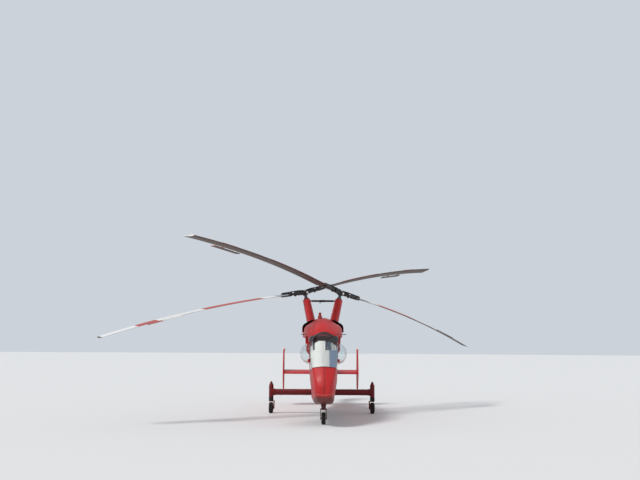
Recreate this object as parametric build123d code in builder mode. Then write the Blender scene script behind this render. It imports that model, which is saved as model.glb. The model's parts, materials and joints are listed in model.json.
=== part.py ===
from build123d import *
import os
from math import cos, degrees, radians, sin, tan

# Single-seat lifting helicopter with two intermeshing rotors, standing on its wheels.
# Millimetres. X points to the machine's own left, the nose points along -Y, the masts stand over Y = 0.
# The datum is the eye of the cargo hook. Heights in the tables are above the ground.

os.makedirs("parts", exist_ok=True)

HOOK_EYE_HEIGHT = 420.0

# Fits
SEAT_GAP = 0.3
PANEL_GAP = 6.0
CUT_REACH = 3000.0

# Skins
WALL = 45.0
GLASS = 10.0
GLASS_LIP = 28.0

# Stations along the body
NOSE_END = -3000.0
BULKHEAD = -1150.0
CENTRE_END = 1500.0
HOOD_END = 900.0
COWL_END = 3200.0
DECK_HEIGHT = 2620.0

# Alignment of a box that stands on a point and ends at it along Y
ABOVE_ENDING = (Align.CENTER, Align.MAX, Align.MIN)

# Rotors
MAST_HALF_SPACING = 611.0
HUB_HEIGHT = 4140.0
MAST_CANT = 12.5
ROTOR_RADIUS = 7365.0
LAG_ARM = 450.0
BLADE_CHORD = 430.0
BLADE_THICKNESS = 52.0
BLADE_PITCH = 10.0
BLADE_DROOP_RADIUS = 38000.0


def level(height):
    """Z of a height above the ground."""
    return height - HOOK_EYE_HEIGHT


def ring(station, half_profile, radii, inset=0.0):
    """Closed face across the body, mirrored about the middle plane.

    half_profile lists (half width, height) from the keel up; radii gives each corner's round.
    """
    low, high = half_profile[0][1], half_profile[-1][1]
    right = []
    for half, height in half_profile:
        z = level(height)
        if height == low:
            z += inset
        if height == high:
            z -= inset
        right.append((max(half - inset, 0.0), z))
    left = [(-x, z) for x, z in reversed(right) if x > 0]
    shrunk = [max(r - inset, r / 4) for r in radii]
    left_radii = [r for r, (x, z) in reversed(list(zip(shrunk, right))) if x > 0]
    with BuildSketch(Plane.XZ.offset(-station)) as face:
        with BuildLine():
            FilletPolyline(*right, *left, radius=shrunk + left_radii, close=True)
        make_face()
    return face.sketch


def side_prism(points, radii, x_from, x_to):
    """Prism across the body from a side outline of (station, height) points."""
    with BuildPart() as prism:
        with BuildSketch(Plane.YZ.offset(x_from)):
            with BuildLine():
                FilletPolyline(*[(y, level(h)) for y, h in points], radius=radii, close=True)
            make_face()
        extrude(amount=x_to - x_from)
    return prism.part


def save(part, name):
    """Label a finished piece and write its file."""
    part.label = name
    export_step(part, f"parts/{name}.step")


# Front of the body. Columns: station, half profile of keel, belt, shoulder and ridge, their rounds.
NOSE_RINGS = [
    (-4220, [(100, 930), (150, 1030), (130, 1120), (0, 1180)], [50, 60, 50, 120]),
    (-4130, [(165, 840), (240, 1010), (225, 1290), (0, 1400)], [70, 120, 90, 240]),
    (-3950, [(215, 750), (305, 1050), (300, 1500), (0, 1660)], [90, 200, 110, 300]),
    (-3700, [(250, 690), (345, 1150), (365, 1760), (0, 1960)], [110, 300, 130, 380]),
    (-3350, [(280, 640), (385, 1250), (420, 2170), (0, 2400)], [120, 400, 140, 400]),
    (NOSE_END, [(300, 600), (400, 1300), (448, 2560), (0, 2830)], [130, 400, 150, 420]),
]
CABIN_RINGS = [
    NOSE_RINGS[-1],
    (-2200, [(320, 590), (415, 1300), (480, 2750), (0, 3000)], [130, 400, 60, 420]),
    (BULKHEAD, [(350, 590), (400, 1300), (500, 2750), (0, 3000)], [130, 400, 60, 420]),
]


def faces(rings, inset=0.0):
    """Faces of a body's rings, each shrunk by the inset."""
    return [ring(y, profile, radii, inset) for y, profile, radii in rings]


with BuildPart() as nose_outer:
    loft(faces(NOSE_RINGS))
with BuildPart() as nose_inner:
    loft(faces(NOSE_RINGS[1:], WALL))
with BuildPart() as glass_inner:
    loft(faces(NOSE_RINGS, GLASS))
with BuildPart() as cabin_outer:
    loft(faces(CABIN_RINGS))
with BuildPart() as cabin_inner:
    loft(faces(CABIN_RINGS, WALL))

# Windscreen: one curved sheet from the nose to the roof arch, on a lip of the nose shell.
SCREEN_REAR = NOSE_END - 35
SCREEN_FOOT_FRONT = 1740.0
SCREEN_FOOT_REAR = 1450.0
SCREEN_FRONT = -4000.0
SCREEN_TOP = 3200.0
SCREEN_CORNER = 60.0


def screen_outline(shrink):
    """Side outline of the windscreen, drawn in from its edge."""
    return side_prism(
        [
            (SCREEN_FRONT, SCREEN_FOOT_FRONT + shrink),
            (SCREEN_REAR - shrink, SCREEN_FOOT_REAR + shrink),
            (SCREEN_REAR - shrink, SCREEN_TOP),
            (SCREEN_FRONT, SCREEN_TOP),
        ],
        [0, SCREEN_CORNER, 0, 0],
        -CUT_REACH / 2,
        CUT_REACH / 2,
    )


with BuildPart() as windscreen:
    add(nose_outer.part)
    add(glass_inner.part, mode=Mode.SUBTRACT)
    add(screen_outline(0), mode=Mode.INTERSECT)
save(windscreen.part, "windscreen")

with BuildPart() as nose_shell:
    add(nose_outer.part)
    add(nose_inner.part, mode=Mode.SUBTRACT)
    add(screen_outline(GLASS_LIP), mode=Mode.SUBTRACT)
    add(windscreen.part, mode=Mode.SUBTRACT)
save(nose_shell.part, "nose_shell")

# Sun screen: a thin foil sheet that lies against the inside of the windscreen.
FOIL = 3.0
FOIL_LOW, FOIL_HIGH = 1760.0, 2520.0
with BuildPart() as foil_inner:
    loft(faces(NOSE_RINGS, GLASS + FOIL))
with BuildPart() as sun_screen:
    add(glass_inner.part)
    add(foil_inner.part, mode=Mode.SUBTRACT)
    add(screen_outline(GLASS_LIP + 2), mode=Mode.INTERSECT)
    with Locations((0, (SCREEN_FRONT + SCREEN_REAR) / 2, level((FOIL_LOW + FOIL_HIGH) / 2))):
        Box(700, 1200, FOIL_HIGH - FOIL_LOW, mode=Mode.INTERSECT)
save(sun_screen.part, "sun_screen")

# Doors: cut out of the cabin wall, hung on a vertical pin line ahead of their front edge.
DOOR_FRONT, DOOR_REAR = -2900.0, -1950.0
DOOR_LOW, DOOR_HIGH = 1060.0, 2520.0
DOOR_CORNER = 110.0
HINGE_X = 472.0
HINGE_Y = DOOR_FRONT - 20
HINGE_PIN = 7.0
HINGE_BARREL = 16.0
HINGE_LENGTH = 90.0
HINGE_HEIGHTS = [1880.0, 2400.0]
HINGE_ARM = 66.0
HINGE_BAR = 16.0
DOOR_FOOT = 50.0
BUBBLE_Y, BUBBLE_HEIGHT = -2480.0, 2090.0
BUBBLE_RADIUS = 325.0
BUBBLE_BULGE = 330.0
BUBBLE_SEAT_X = 400.0


def door_outline(side, grow):
    """Door outline as a prism that reaches one side of the body."""
    near, far = 150.0 * side, 700.0 * side
    return side_prism(
        [
            (DOOR_FRONT - grow, DOOR_LOW - grow),
            (DOOR_REAR + grow, DOOR_LOW - grow),
            (DOOR_REAR + grow, DOOR_HIGH + grow),
            (DOOR_FRONT - grow, DOOR_HIGH + grow),
        ],
        DOOR_CORNER + grow,
        min(near, far),
        max(near, far),
    )


def bubble(side):
    """Blown dome of one glass thickness, set into the door's side."""
    with BuildPart() as dome:
        with BuildSketch(Plane.XY):
            with BuildLine():
                EllipticalCenterArc((0, 0), BUBBLE_BULGE, BUBBLE_RADIUS, 0, arc_size=90)
                Line((0, BUBBLE_RADIUS), (0, BUBBLE_RADIUS - GLASS))
                EllipticalCenterArc((0, 0), BUBBLE_BULGE - GLASS, BUBBLE_RADIUS - GLASS, 0, arc_size=90)
                Line((BUBBLE_BULGE - GLASS, 0), (BUBBLE_BULGE, 0))
            make_face()
        revolve(axis=Axis.X)
    turn = 0 if side > 0 else 180
    return Location((side * BUBBLE_SEAT_X, BUBBLE_Y, level(BUBBLE_HEIGHT)), (0, 0, turn)) * dome.part


for name, side in (("left", 1), ("right", -1)):
    with BuildPart() as bubble_hole:
        with Locations(Location((side * BUBBLE_SEAT_X, BUBBLE_Y, level(BUBBLE_HEIGHT)), (0, 90, 0))):
            Cylinder(BUBBLE_RADIUS - GLASS_LIP, 400)
    with BuildPart() as door:
        add(cabin_outer.part)
        add(cabin_inner.part, mode=Mode.SUBTRACT)
        add(door_outline(side, 0), mode=Mode.INTERSECT)
        add(bubble_hole.part, mode=Mode.SUBTRACT)
        for height in HINGE_HEIGHTS:
            with Locations((side * HINGE_X, HINGE_Y, level(height))):
                Cylinder(HINGE_BARREL, HINGE_LENGTH / 3)
            with Locations((side * (HINGE_X - HINGE_ARM / 2), DOOR_FRONT + DOOR_FOOT / 2, level(height))):
                Box(HINGE_ARM, DOOR_FOOT, HINGE_LENGTH / 3)
            with Locations((side * (HINGE_X - HINGE_BAR / 2), (HINGE_Y + DOOR_FRONT + DOOR_FOOT) / 2, level(height))):
                Box(HINGE_BAR, DOOR_FRONT + DOOR_FOOT - HINGE_Y, HINGE_LENGTH / 3)
        add(cabin_inner.part, mode=Mode.SUBTRACT)
        for height in HINGE_HEIGHTS:
            with Locations((side * HINGE_X, HINGE_Y, level(height))):
                Cylinder(HINGE_PIN + SEAT_GAP, HINGE_LENGTH, mode=Mode.SUBTRACT)
    save(door.part, f"door_{name}")
    with BuildPart() as door_window:
        add(bubble(side))
        add(cabin_outer.part, mode=Mode.SUBTRACT)
    save(door_window.part, f"door_window_{name}")

# Cabin walls between the nose and the bulkhead, open to both door ways.
with BuildPart() as cockpit_frame:
    add(cabin_outer.part)
    add(cabin_inner.part, mode=Mode.SUBTRACT)
    with Locations((0, 0, level(DECK_HEIGHT) + 500)):
        Box(2000, 9000, 1000, mode=Mode.SUBTRACT)
    for side in (1, -1):
        add(door_outline(side, PANEL_GAP), mode=Mode.SUBTRACT)
        for height in HINGE_HEIGHTS:
            with Locations((side * HINGE_X, HINGE_Y, level(height))):
                Cylinder(HINGE_PIN, HINGE_LENGTH)
            for end in (1, -1):
                with Locations((side * HINGE_X, HINGE_Y, level(height) + end * HINGE_LENGTH / 3)):
                    Cylinder(HINGE_BARREL, HINGE_LENGTH / 3 - 2 * SEAT_GAP)
                arm_z = level(height) + end * HINGE_LENGTH / 3
                with Locations((side * (HINGE_X - HINGE_ARM / 2), HINGE_Y - 25, arm_z)):
                    Box(HINGE_ARM, 50, HINGE_LENGTH / 3 - 2 * SEAT_GAP)
    add(cabin_inner.part, mode=Mode.SUBTRACT)
save(cockpit_frame.part, "cockpit_frame")

# Cockpit floor, seat, panel and controls
FLOOR_HEIGHT = 1000.0
FLOOR_THICKNESS = 30.0
with BuildPart() as cockpit_floor:
    add(nose_inner.part)
    add(cabin_inner.part)
    with Locations((0, -2450, level(FLOOR_HEIGHT) - FLOOR_THICKNESS / 2)):
        Box(1200, 2600, FLOOR_THICKNESS, mode=Mode.INTERSECT)
save(cockpit_floor.part, "cockpit_floor")

SEAT_WIDTH = 440.0
SEAT_FRONT, SEAT_BACK = -2480.0, -1990.0
CUSHION_HEIGHT = 1400.0
SEAT_TOP = 2180.0
SEAT_PAD = 90.0
with BuildPart() as seat:
    add(
        side_prism(
            [
                (SEAT_FRONT, CUSHION_HEIGHT),
                (SEAT_BACK, CUSHION_HEIGHT - 40),
                (SEAT_BACK + 90, SEAT_TOP),
                (SEAT_BACK + 90 + SEAT_PAD, SEAT_TOP),
                (SEAT_BACK + SEAT_PAD, CUSHION_HEIGHT - 160),
                (SEAT_BACK, CUSHION_HEIGHT - 190),
                (SEAT_FRONT, CUSHION_HEIGHT - 120),
            ],
            [40, 30, 40, 40, 60, 20, 40],
            -SEAT_WIDTH / 2,
            SEAT_WIDTH / 2,
        )
    )
    add(
        side_prism(
            [
                (SEAT_FRONT + 60, CUSHION_HEIGHT - 130),
                (SEAT_BACK + 20, CUSHION_HEIGHT - 180),
                (SEAT_BACK - 20, FLOOR_HEIGHT),
                (SEAT_FRONT + 120, FLOOR_HEIGHT),
            ],
            0,
            -SEAT_WIDTH / 2 + 60,
            SEAT_WIDTH / 2 - 60,
        )
    )
save(seat.part, "seat")

PANEL_WIDTH = 480.0
with BuildPart() as instrument_panel:
    add(
        side_prism(
            [
                (-3080, 1640),
                (-3130, 1330),
                (-3260, 1330),
                (-3330, FLOOR_HEIGHT),
                (-3480, FLOOR_HEIGHT),
                (-3560, 1560),
                (-3420, 1660),
                (-3060, 1680),
            ],
            [0, 20, 20, 0, 0, 40, 60, 15],
            -PANEL_WIDTH / 2,
            PANEL_WIDTH / 2,
        )
    )
save(instrument_panel.part, "instrument_panel")

STICK_RADIUS = 14.0
with BuildPart() as flight_controls:
    with BuildLine() as stick_path:
        FilletPolyline(
            (0, -2780, level(FLOOR_HEIGHT)),
            (0, -2780, level(FLOOR_HEIGHT + 330)),
            (0, -2700, level(FLOOR_HEIGHT + 620)),
            radius=120,
        )
    with BuildSketch(Plane.XY.offset(level(FLOOR_HEIGHT))):
        with Locations((0, -2780)):
            Circle(STICK_RADIUS)
    sweep(path=stick_path.line)
    with BuildLine() as lever_path:
        FilletPolyline(
            (290, -1960, level(FLOOR_HEIGHT)),
            (290, -1960, level(FLOOR_HEIGHT + 160)),
            (290, -2460, level(FLOOR_HEIGHT + 360)),
            radius=80,
        )
    with BuildSketch(Plane.XY.offset(level(FLOOR_HEIGHT))):
        with Locations((290, -1960)):
            Circle(STICK_RADIUS)
    sweep(path=lever_path.line)
    for x in (-1, 1):
        with Locations((x * 130, -3030, level(FLOOR_HEIGHT) + 75)):
            Box(90, 22, 150)
save(flight_controls.part, "flight_controls")

# Roof hood over the cabin and the gearbox, and the engine cowl behind it.
# Columns: station, half profile of foot, shoulder and ridge, their rounds.
HOOD_RINGS = [
    (NOSE_END, [(345, DECK_HEIGHT), (340, 2645), (0, 2815)], [0, 10, 400]),
    (-2600, [(510, DECK_HEIGHT), (500, 2760), (0, 3080)], [0, 120, 400]),
    (-1900, [(600, DECK_HEIGHT), (588, 2890), (0, 3250)], [0, 170, 480]),
    (-1000, [(622, DECK_HEIGHT), (612, 2950), (0, 3330)], [0, 190, 550]),
    (HOOD_END, [(615, DECK_HEIGHT), (605, 2940), (0, 3320)], [0, 190, 550]),
]
COWL_RINGS = [
    HOOD_RINGS[-1],
    (2100, [(530, DECK_HEIGHT), (515, 2880), (0, 3200)], [0, 160, 460]),
    (COWL_END, [(400, DECK_HEIGHT), (380, 2790), (0, 3000)], [0, 120, 340]),
]
with BuildPart() as roof_hood:
    loft(faces(HOOD_RINGS))
save(roof_hood.part, "roof_hood")
with BuildPart() as engine_cowl:
    loft(faces(COWL_RINGS))
save(engine_cowl.part, "engine_cowl")

# Air intakes: a curved duct on each shoulder of the hood, open to the front.
INTAKE_FRONT, INTAKE_REAR = -760.0, 520.0
INTAKE_LOW, INTAKE_HIGH = 2790.0, 3190.0
INTAKE_DEPTH = 75.0
INTAKE_SKIN = 9.0
INTAKE_MOUTH = 600.0


def grown_hood(grow):
    """The hood's outline, grown outwards, as a prism along the intake."""
    station, profile, radii = HOOD_RINGS[3]
    grown = [(half + grow if half else 0, h + (0 if h == DECK_HEIGHT else grow)) for half, h in profile]
    with BuildPart() as prism:
        extrude(ring(INTAKE_FRONT, grown, radii), amount=INTAKE_FRONT - INTAKE_REAR)
    return prism.part


with BuildPart() as intake_envelope:
    add(grown_hood(INTAKE_DEPTH))
    with Locations((0, (INTAKE_FRONT + INTAKE_REAR) / 2, level((INTAKE_LOW + INTAKE_HIGH) / 2))):
        Box(2000, INTAKE_REAR - INTAKE_FRONT, INTAKE_HIGH - INTAKE_LOW, mode=Mode.INTERSECT)
with BuildPart() as air_intakes:
    add(intake_envelope.part)
    with BuildPart(mode=Mode.PRIVATE) as mouth:
        add(grown_hood(INTAKE_DEPTH - INTAKE_SKIN))
        with Locations((0, INTAKE_FRONT, level((INTAKE_LOW + INTAKE_HIGH) / 2))):
            Box(2000, 2 * INTAKE_MOUTH, INTAKE_HIGH - INTAKE_LOW - 2 * INTAKE_SKIN, mode=Mode.INTERSECT)
    add(mouth.part, mode=Mode.SUBTRACT)
    add(roof_hood.part, mode=Mode.SUBTRACT)
save(air_intakes.part, "air_intakes")

# Exhaust pipe out of the rear of the cowl
EXHAUST_RADIUS = 150.0
EXHAUST_WALL = 8.0
EXHAUST_LENGTH = 460.0
EXHAUST_HEIGHT = 2790.0
with BuildPart() as exhaust_pipe:
    with BuildSketch(Plane.XZ.offset(-COWL_END)):
        with Locations((0, level(EXHAUST_HEIGHT))):
            Circle(EXHAUST_RADIUS)
            Circle(EXHAUST_RADIUS - EXHAUST_WALL, mode=Mode.SUBTRACT)
    extrude(amount=-EXHAUST_LENGTH)
save(exhaust_pipe.part, "exhaust_pipe")

# Centre body and tail boom. Columns: station, half profile of keel, waist, hip and deck, their rounds.
CENTRE_PROFILE = [(360, 590), (400, 1950), (570, 2200), (575, DECK_HEIGHT)]
CENTRE_RADII = [120, 200, 100, 20]
with BuildPart() as centre_body:
    extrude(ring(BULKHEAD, CENTRE_PROFILE, CENTRE_RADII), amount=BULKHEAD - CENTRE_END)
BOOM_END = 7575.0
DECK_END = 3700.0
BOOM_RINGS = [
    (CENTRE_END, CENTRE_PROFILE, CENTRE_RADII),
    (COWL_END, [(270, 790), (335, 1780), (440, 2200), (400, DECK_HEIGHT)], [110, 200, 120, 40]),
    (5000, [(140, 1250), (200, 1600), (225, 1950), (150, 2330)], [70, 120, 120, 80]),
    (BOOM_END, [(60, 1560), (85, 1700), (90, 1930), (55, 2080)], [40, 60, 60, 35]),
]
BOOM_WALL = 40.0
with BuildPart() as boom_outer:
    loft(faces(BOOM_RINGS))
    with Locations((0, DECK_END, level(DECK_HEIGHT))):
        Box(2000, 2 * (DECK_END - CENTRE_END), 1000, align=ABOVE_ENDING, mode=Mode.SUBTRACT)

# Pylons: tapered columns that carry the canted masts, joined by a tie rod.
PYLON_FOOT_HEIGHT = 3000.0
PYLON_TOP_DROP = 230.0
COLLAR_RADIUS, COLLAR_HEIGHT = 95.0, 26.0
pylons = []
for name, side in (("left", 1), ("right", -1)):
    hub = Location((side * MAST_HALF_SPACING, 0, level(HUB_HEIGHT)), (0, side * MAST_CANT, 0))
    top = Plane(hub * Location((0, 0, -PYLON_TOP_DROP)))
    foot_x = side * (MAST_HALF_SPACING - (HUB_HEIGHT - PYLON_FOOT_HEIGHT) * tan(radians(MAST_CANT)))
    with BuildPart() as pylon:
        with BuildSketch(Plane.XY.offset(level(PYLON_FOOT_HEIGHT))):
            with Locations((foot_x, 0)):
                Ellipse(158, 430)
        with BuildSketch(top):
            Ellipse(128, 230)
        loft()
        with BuildSketch(top):
            Circle(COLLAR_RADIUS)
        extrude(amount=COLLAR_HEIGHT)
        add(roof_hood.part, mode=Mode.SUBTRACT)
        add(intake_envelope.part, mode=Mode.SUBTRACT)
    save(pylon.part, f"pylon_{name}")
    pylons.append(pylon.part)

TIE_HEIGHT = 3870.0
TIE_RADIUS = 23.0
with BuildPart() as pylon_tie_rod:
    with Locations(Location((0, 0, level(TIE_HEIGHT)), (0, 90, 0))):
        Cylinder(TIE_RADIUS, 2 * MAST_HALF_SPACING)
    with Locations((-90, 0, level(TIE_HEIGHT) - 35)):
        Box(30, 24, 50)
    for pylon_part in pylons:
        add(pylon_part, mode=Mode.SUBTRACT)
save(pylon_tie_rod.part, "pylon_tie_rod")

# Beacon on the roof
BEACON_X, BEACON_Y = -100.0, -820.0
BEACON_BASE = 3215.0
with BuildPart() as beacon:
    with Locations((BEACON_X, BEACON_Y, level(BEACON_BASE))):
        Cylinder(48, 70, align=(Align.CENTER, Align.CENTER, Align.MIN))
    with Locations((BEACON_X, BEACON_Y, level(BEACON_BASE) + 70)):
        Cylinder(40, 120, align=(Align.CENTER, Align.CENTER, Align.MIN))
    fillet(beacon.edges().group_by(Axis.Z)[-1], 30)
    add(roof_hood.part, mode=Mode.SUBTRACT)
save(beacon.part, "beacon")

# Pitot tubes at the lower corners of the hood
PITOT_RADIUS = 11.0
with BuildPart() as pitot_tubes:
    for side in (1, -1):
        with BuildLine(Plane.XY) as probe:
            FilletPolyline(
                (side * 480, -2320, level(2680)),
                (side * 690, -2320, level(2680)),
                (side * 690, -2560, level(2680)),
                radius=50,
            )
        with BuildSketch(Plane(origin=(side * 480, -2320, level(2680)), z_dir=(side, 0, 0))):
            Circle(PITOT_RADIUS)
        sweep(path=probe.line)
    add(roof_hood.part, mode=Mode.SUBTRACT)
save(pitot_tubes.part, "pitot_tubes")

# Main gear: a tube beam each side, an upright strut at its end, a trailing wheel on an inboard arm.
TRACK = 3560.0
MAIN_Y = 1030.0
BEAM_HEIGHT = 730.0
BEAM_RADIUS = 105.0
STRUT_RADIUS = 80.0
STRUT_LOW, STRUT_HIGH = 560.0, 960.0
OLEO_RADIUS = 72.0
OLEO_LOW = 430.0
MAIN_WHEEL_RADIUS = 190.0
MAIN_WHEEL_WIDTH = 150.0
AXLE_RADIUS = 20.0
ARM_THICKNESS = 34.0
RIM_RADIUS = 105.0


def tyre(radius, width, hole):
    """Tyre with rounded shoulders, its axle along X."""
    with BuildPart() as ring_body:
        with Locations(Location((0, 0, 0), (0, 90, 0))):
            Cylinder(radius, width)
        fillet(ring_body.edges().filter_by(GeomType.CIRCLE), width * 0.36)
        with Locations(Location((0, 0, 0), (0, 90, 0))):
            Cylinder(hole, width, mode=Mode.SUBTRACT)
    return ring_body.part


def rim(radius, width, bore):
    """Dished wheel centre with a raised boss, its axle along X."""
    with BuildPart() as disc:
        with BuildSketch(Plane.XY):
            with Locations((0, (radius + bore) / 2)):
                Rectangle(width, radius - bore)
            for end in (1, -1):
                with Locations((end * width / 2, (radius + 2.2 * bore) / 2)):
                    Rectangle(width * 0.44, radius * 0.84 - 2.2 * bore, mode=Mode.SUBTRACT)
        revolve(axis=Axis.X)
    return disc.part


with BuildPart() as oleos:
    for side in (1, -1):
        with Locations((side * TRACK / 2, MAIN_Y, level((STRUT_LOW + OLEO_LOW) / 2))):
            Cylinder(OLEO_RADIUS, STRUT_LOW - OLEO_LOW)
save(oleos.part, "oleos")

for name, side in (("left", 1), ("right", -1)):
    with BuildPart() as gear_beam:
        with BuildSketch(Plane.YZ.offset(side * 300)):
            with Locations((MAIN_Y, level(BEAM_HEIGHT))):
                Circle(BEAM_RADIUS)
        extrude(amount=side * (TRACK / 2 - 300))
        with Locations(Location((side * (TRACK / 2 - 90), MAIN_Y, level(BEAM_HEIGHT)), (0, side * 90, 0))):
            Cone(BEAM_RADIUS, BEAM_RADIUS + 30, 180)
        with Locations((side * TRACK / 2, MAIN_Y, level((STRUT_LOW + STRUT_HIGH) / 2))):
            Cylinder(STRUT_RADIUS, STRUT_HIGH - STRUT_LOW)
        with Locations((side * TRACK / 2, MAIN_Y, level(STRUT_HIGH) + 70)):
            Cone(STRUT_RADIUS, 22, 140)
        add(centre_body.part, mode=Mode.SUBTRACT)
    save(gear_beam.part, f"gear_beam_{name}")

with BuildPart() as wheel_arms:
    for side in (1, -1):
        arm_x = side * (TRACK / 2 - MAIN_WHEEL_WIDTH / 2 - 12 - ARM_THICKNESS / 2)
        with Locations((side * (TRACK / 2 - 30), MAIN_Y, level(OLEO_LOW) - 14)):
            Box(200, 120, 28)
        with BuildSketch(Plane.YZ.offset(arm_x - ARM_THICKNESS / 2)):
            with BuildLine():
                FilletPolyline(
                    (MAIN_Y - 70, level(OLEO_LOW)),
                    (MAIN_Y + 70, level(OLEO_LOW)),
                    (MAIN_Y + 50, level(MAIN_WHEEL_RADIUS) - 45),
                    (MAIN_Y - 50, level(MAIN_WHEEL_RADIUS) - 45),
                    radius=[0, 0, 40, 40],
                    close=True,
                )
            make_face()
        extrude(amount=ARM_THICKNESS)
        with Locations(Location((arm_x + side * 80, MAIN_Y, level(MAIN_WHEEL_RADIUS)), (0, 90, 0))):
            Cylinder(AXLE_RADIUS, 180)
save(wheel_arms.part, "wheel_arms")

for name, side in (("left", 1), ("right", -1)):
    place = Location((side * TRACK / 2, MAIN_Y, level(MAIN_WHEEL_RADIUS)))
    save(place * tyre(MAIN_WHEEL_RADIUS, MAIN_WHEEL_WIDTH, RIM_RADIUS), f"main_tyre_{name}")
    main_rim = rim(RIM_RADIUS, MAIN_WHEEL_WIDTH * 0.8, AXLE_RADIUS + SEAT_GAP)
    save(place * main_rim, f"main_rim_{name}")

# Nose gear: a leg under the cabin, a trailing fork that swivels all round, one wheel.
NOSE_WHEEL_Y = -3040.0
NOSE_TRAIL = 70.0
NOSE_WHEEL_RADIUS = 180.0
NOSE_WHEEL_WIDTH = 130.0
LEG_RADIUS = 62.0
LEG_LOW = 470.0
SPINDLE_RADIUS, SPINDLE_LENGTH = 30.0, 80.0
FORK_CROWN = 34.0
FORK_PLATE = 20.0
PIVOT_Y = NOSE_WHEEL_Y - NOSE_TRAIL
with BuildPart() as nose_leg:
    with BuildSketch(Plane.XY.offset(level(LEG_LOW))):
        with Locations((0, PIVOT_Y)):
            Circle(LEG_RADIUS)
    with BuildSketch(Plane.XY.offset(level(700))):
        with Locations((0, PIVOT_Y)):
            Circle(LEG_RADIUS + 40)
    loft()
    with Locations((0, PIVOT_Y, level(LEG_LOW))):
        Cylinder(SPINDLE_RADIUS + SEAT_GAP, 2 * (SPINDLE_LENGTH + SEAT_GAP), mode=Mode.SUBTRACT)
    add(nose_outer.part, mode=Mode.SUBTRACT)
    add(cabin_outer.part, mode=Mode.SUBTRACT)
save(nose_leg.part, "nose_leg")

fork_top = level(LEG_LOW) - SEAT_GAP
fork_x = NOSE_WHEEL_WIDTH / 2 + 12 + FORK_PLATE / 2
with BuildPart() as nose_fork:
    with Locations((0, PIVOT_Y, fork_top + SPINDLE_LENGTH / 2 - 5)):
        Cylinder(SPINDLE_RADIUS, SPINDLE_LENGTH + 10)
    with Locations((0, PIVOT_Y + NOSE_TRAIL / 2, fork_top - FORK_CROWN / 2)):
        Box(2 * fork_x + FORK_PLATE, 130 + NOSE_TRAIL, FORK_CROWN)
    for side in (1, -1):
        with BuildSketch(Plane.YZ.offset(side * fork_x - FORK_PLATE / 2)):
            with BuildLine():
                FilletPolyline(
                    (PIVOT_Y - 50, fork_top),
                    (NOSE_WHEEL_Y + 60, fork_top),
                    (NOSE_WHEEL_Y + 45, level(NOSE_WHEEL_RADIUS) - 40),
                    (NOSE_WHEEL_Y - 45, level(NOSE_WHEEL_RADIUS) - 40),
                    radius=[0, 0, 38, 38],
                    close=True,
                )
            make_face()
        extrude(amount=FORK_PLATE)
    with Locations(Location((0, NOSE_WHEEL_Y, level(NOSE_WHEEL_RADIUS)), (0, 90, 0))):
        Cylinder(AXLE_RADIUS, 2 * fork_x)
save(nose_fork.part, "nose_fork")
nose_place = Location((0, NOSE_WHEEL_Y, level(NOSE_WHEEL_RADIUS)))
save(nose_place * tyre(NOSE_WHEEL_RADIUS, NOSE_WHEEL_WIDTH, RIM_RADIUS - 10), "nose_tyre")
save(nose_place * rim(RIM_RADIUS - 10, NOSE_WHEEL_WIDTH * 0.8, AXLE_RADIUS + SEAT_GAP), "nose_rim")

with BuildPart() as centre_fuselage:
    add(centre_body.part)
save(centre_fuselage.part, "centre_fuselage")

# Cargo hook on its curved rail under the belly
RAIL_HALF, RAIL_DROP = 300.0, 70.0
HOOK_THICKNESS = 30.0
HOOK_EYE_RADIUS = 20.0
HOOK_OUTER_RADIUS = 46.0
with BuildPart() as cargo_rail:
    with BuildLine(Plane.XZ) as rail_arc:
        ThreePointArc(
            (-RAIL_HALF, level(590)),
            (0, level(590) - RAIL_DROP),
            (RAIL_HALF, level(590)),
        )
    with BuildSketch(Plane(origin=rail_arc.line @ 0, z_dir=rail_arc.line % 0)):
        Rectangle(40, 40)
    sweep(path=rail_arc.line)
    add(centre_body.part, mode=Mode.SUBTRACT)
save(cargo_rail.part, "cargo_rail")
with BuildPart() as cargo_hook:
    with BuildSketch(Plane.XZ.offset(-HOOK_THICKNESS / 2)):
        Circle(HOOK_OUTER_RADIUS)
        with Locations((0, 55)):
            Rectangle(56, 90)
        Circle(HOOK_EYE_RADIUS, mode=Mode.SUBTRACT)
    extrude(amount=HOOK_THICKNESS)
    add(cargo_rail.part, mode=Mode.SUBTRACT)
save(cargo_hook.part, "cargo_hook")

# Fin and rudder. The hinge line leans back; brackets on the fin and boom hold the rudder's pin.
RUDDER_LOW, RUDDER_HIGH = 1560.0, 3280.0
FIN_LOW, FIN_HIGH = 1900.0, 3300.0
HINGE_LEAN = 13.0
HINGE_FOOT_Y, HINGE_FOOT_HEIGHT = 7700.0, 1800.0
RUDDER_NOSE_LOW, RUDDER_NOSE_HIGH = 46.0, 28.0
RUDDER_CHORD_LOW, RUDDER_CHORD_HIGH = 470.0, 360.0
RUDDER_PIN = 9.0
RUDDER_HINGES = [1780.0, 2450.0, 3080.0]


def hinge_y(height):
    """Station of the rudder's hinge line at a height."""
    return HINGE_FOOT_Y + (height - HINGE_FOOT_HEIGHT) * tan(radians(HINGE_LEAN))


def nose_radius(height):
    """Half thickness at the hinge line."""
    share = (height - RUDDER_LOW) / (RUDDER_HIGH - RUDDER_LOW)
    return RUDDER_NOSE_LOW + (RUDDER_NOSE_HIGH - RUDDER_NOSE_LOW) * share


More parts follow.
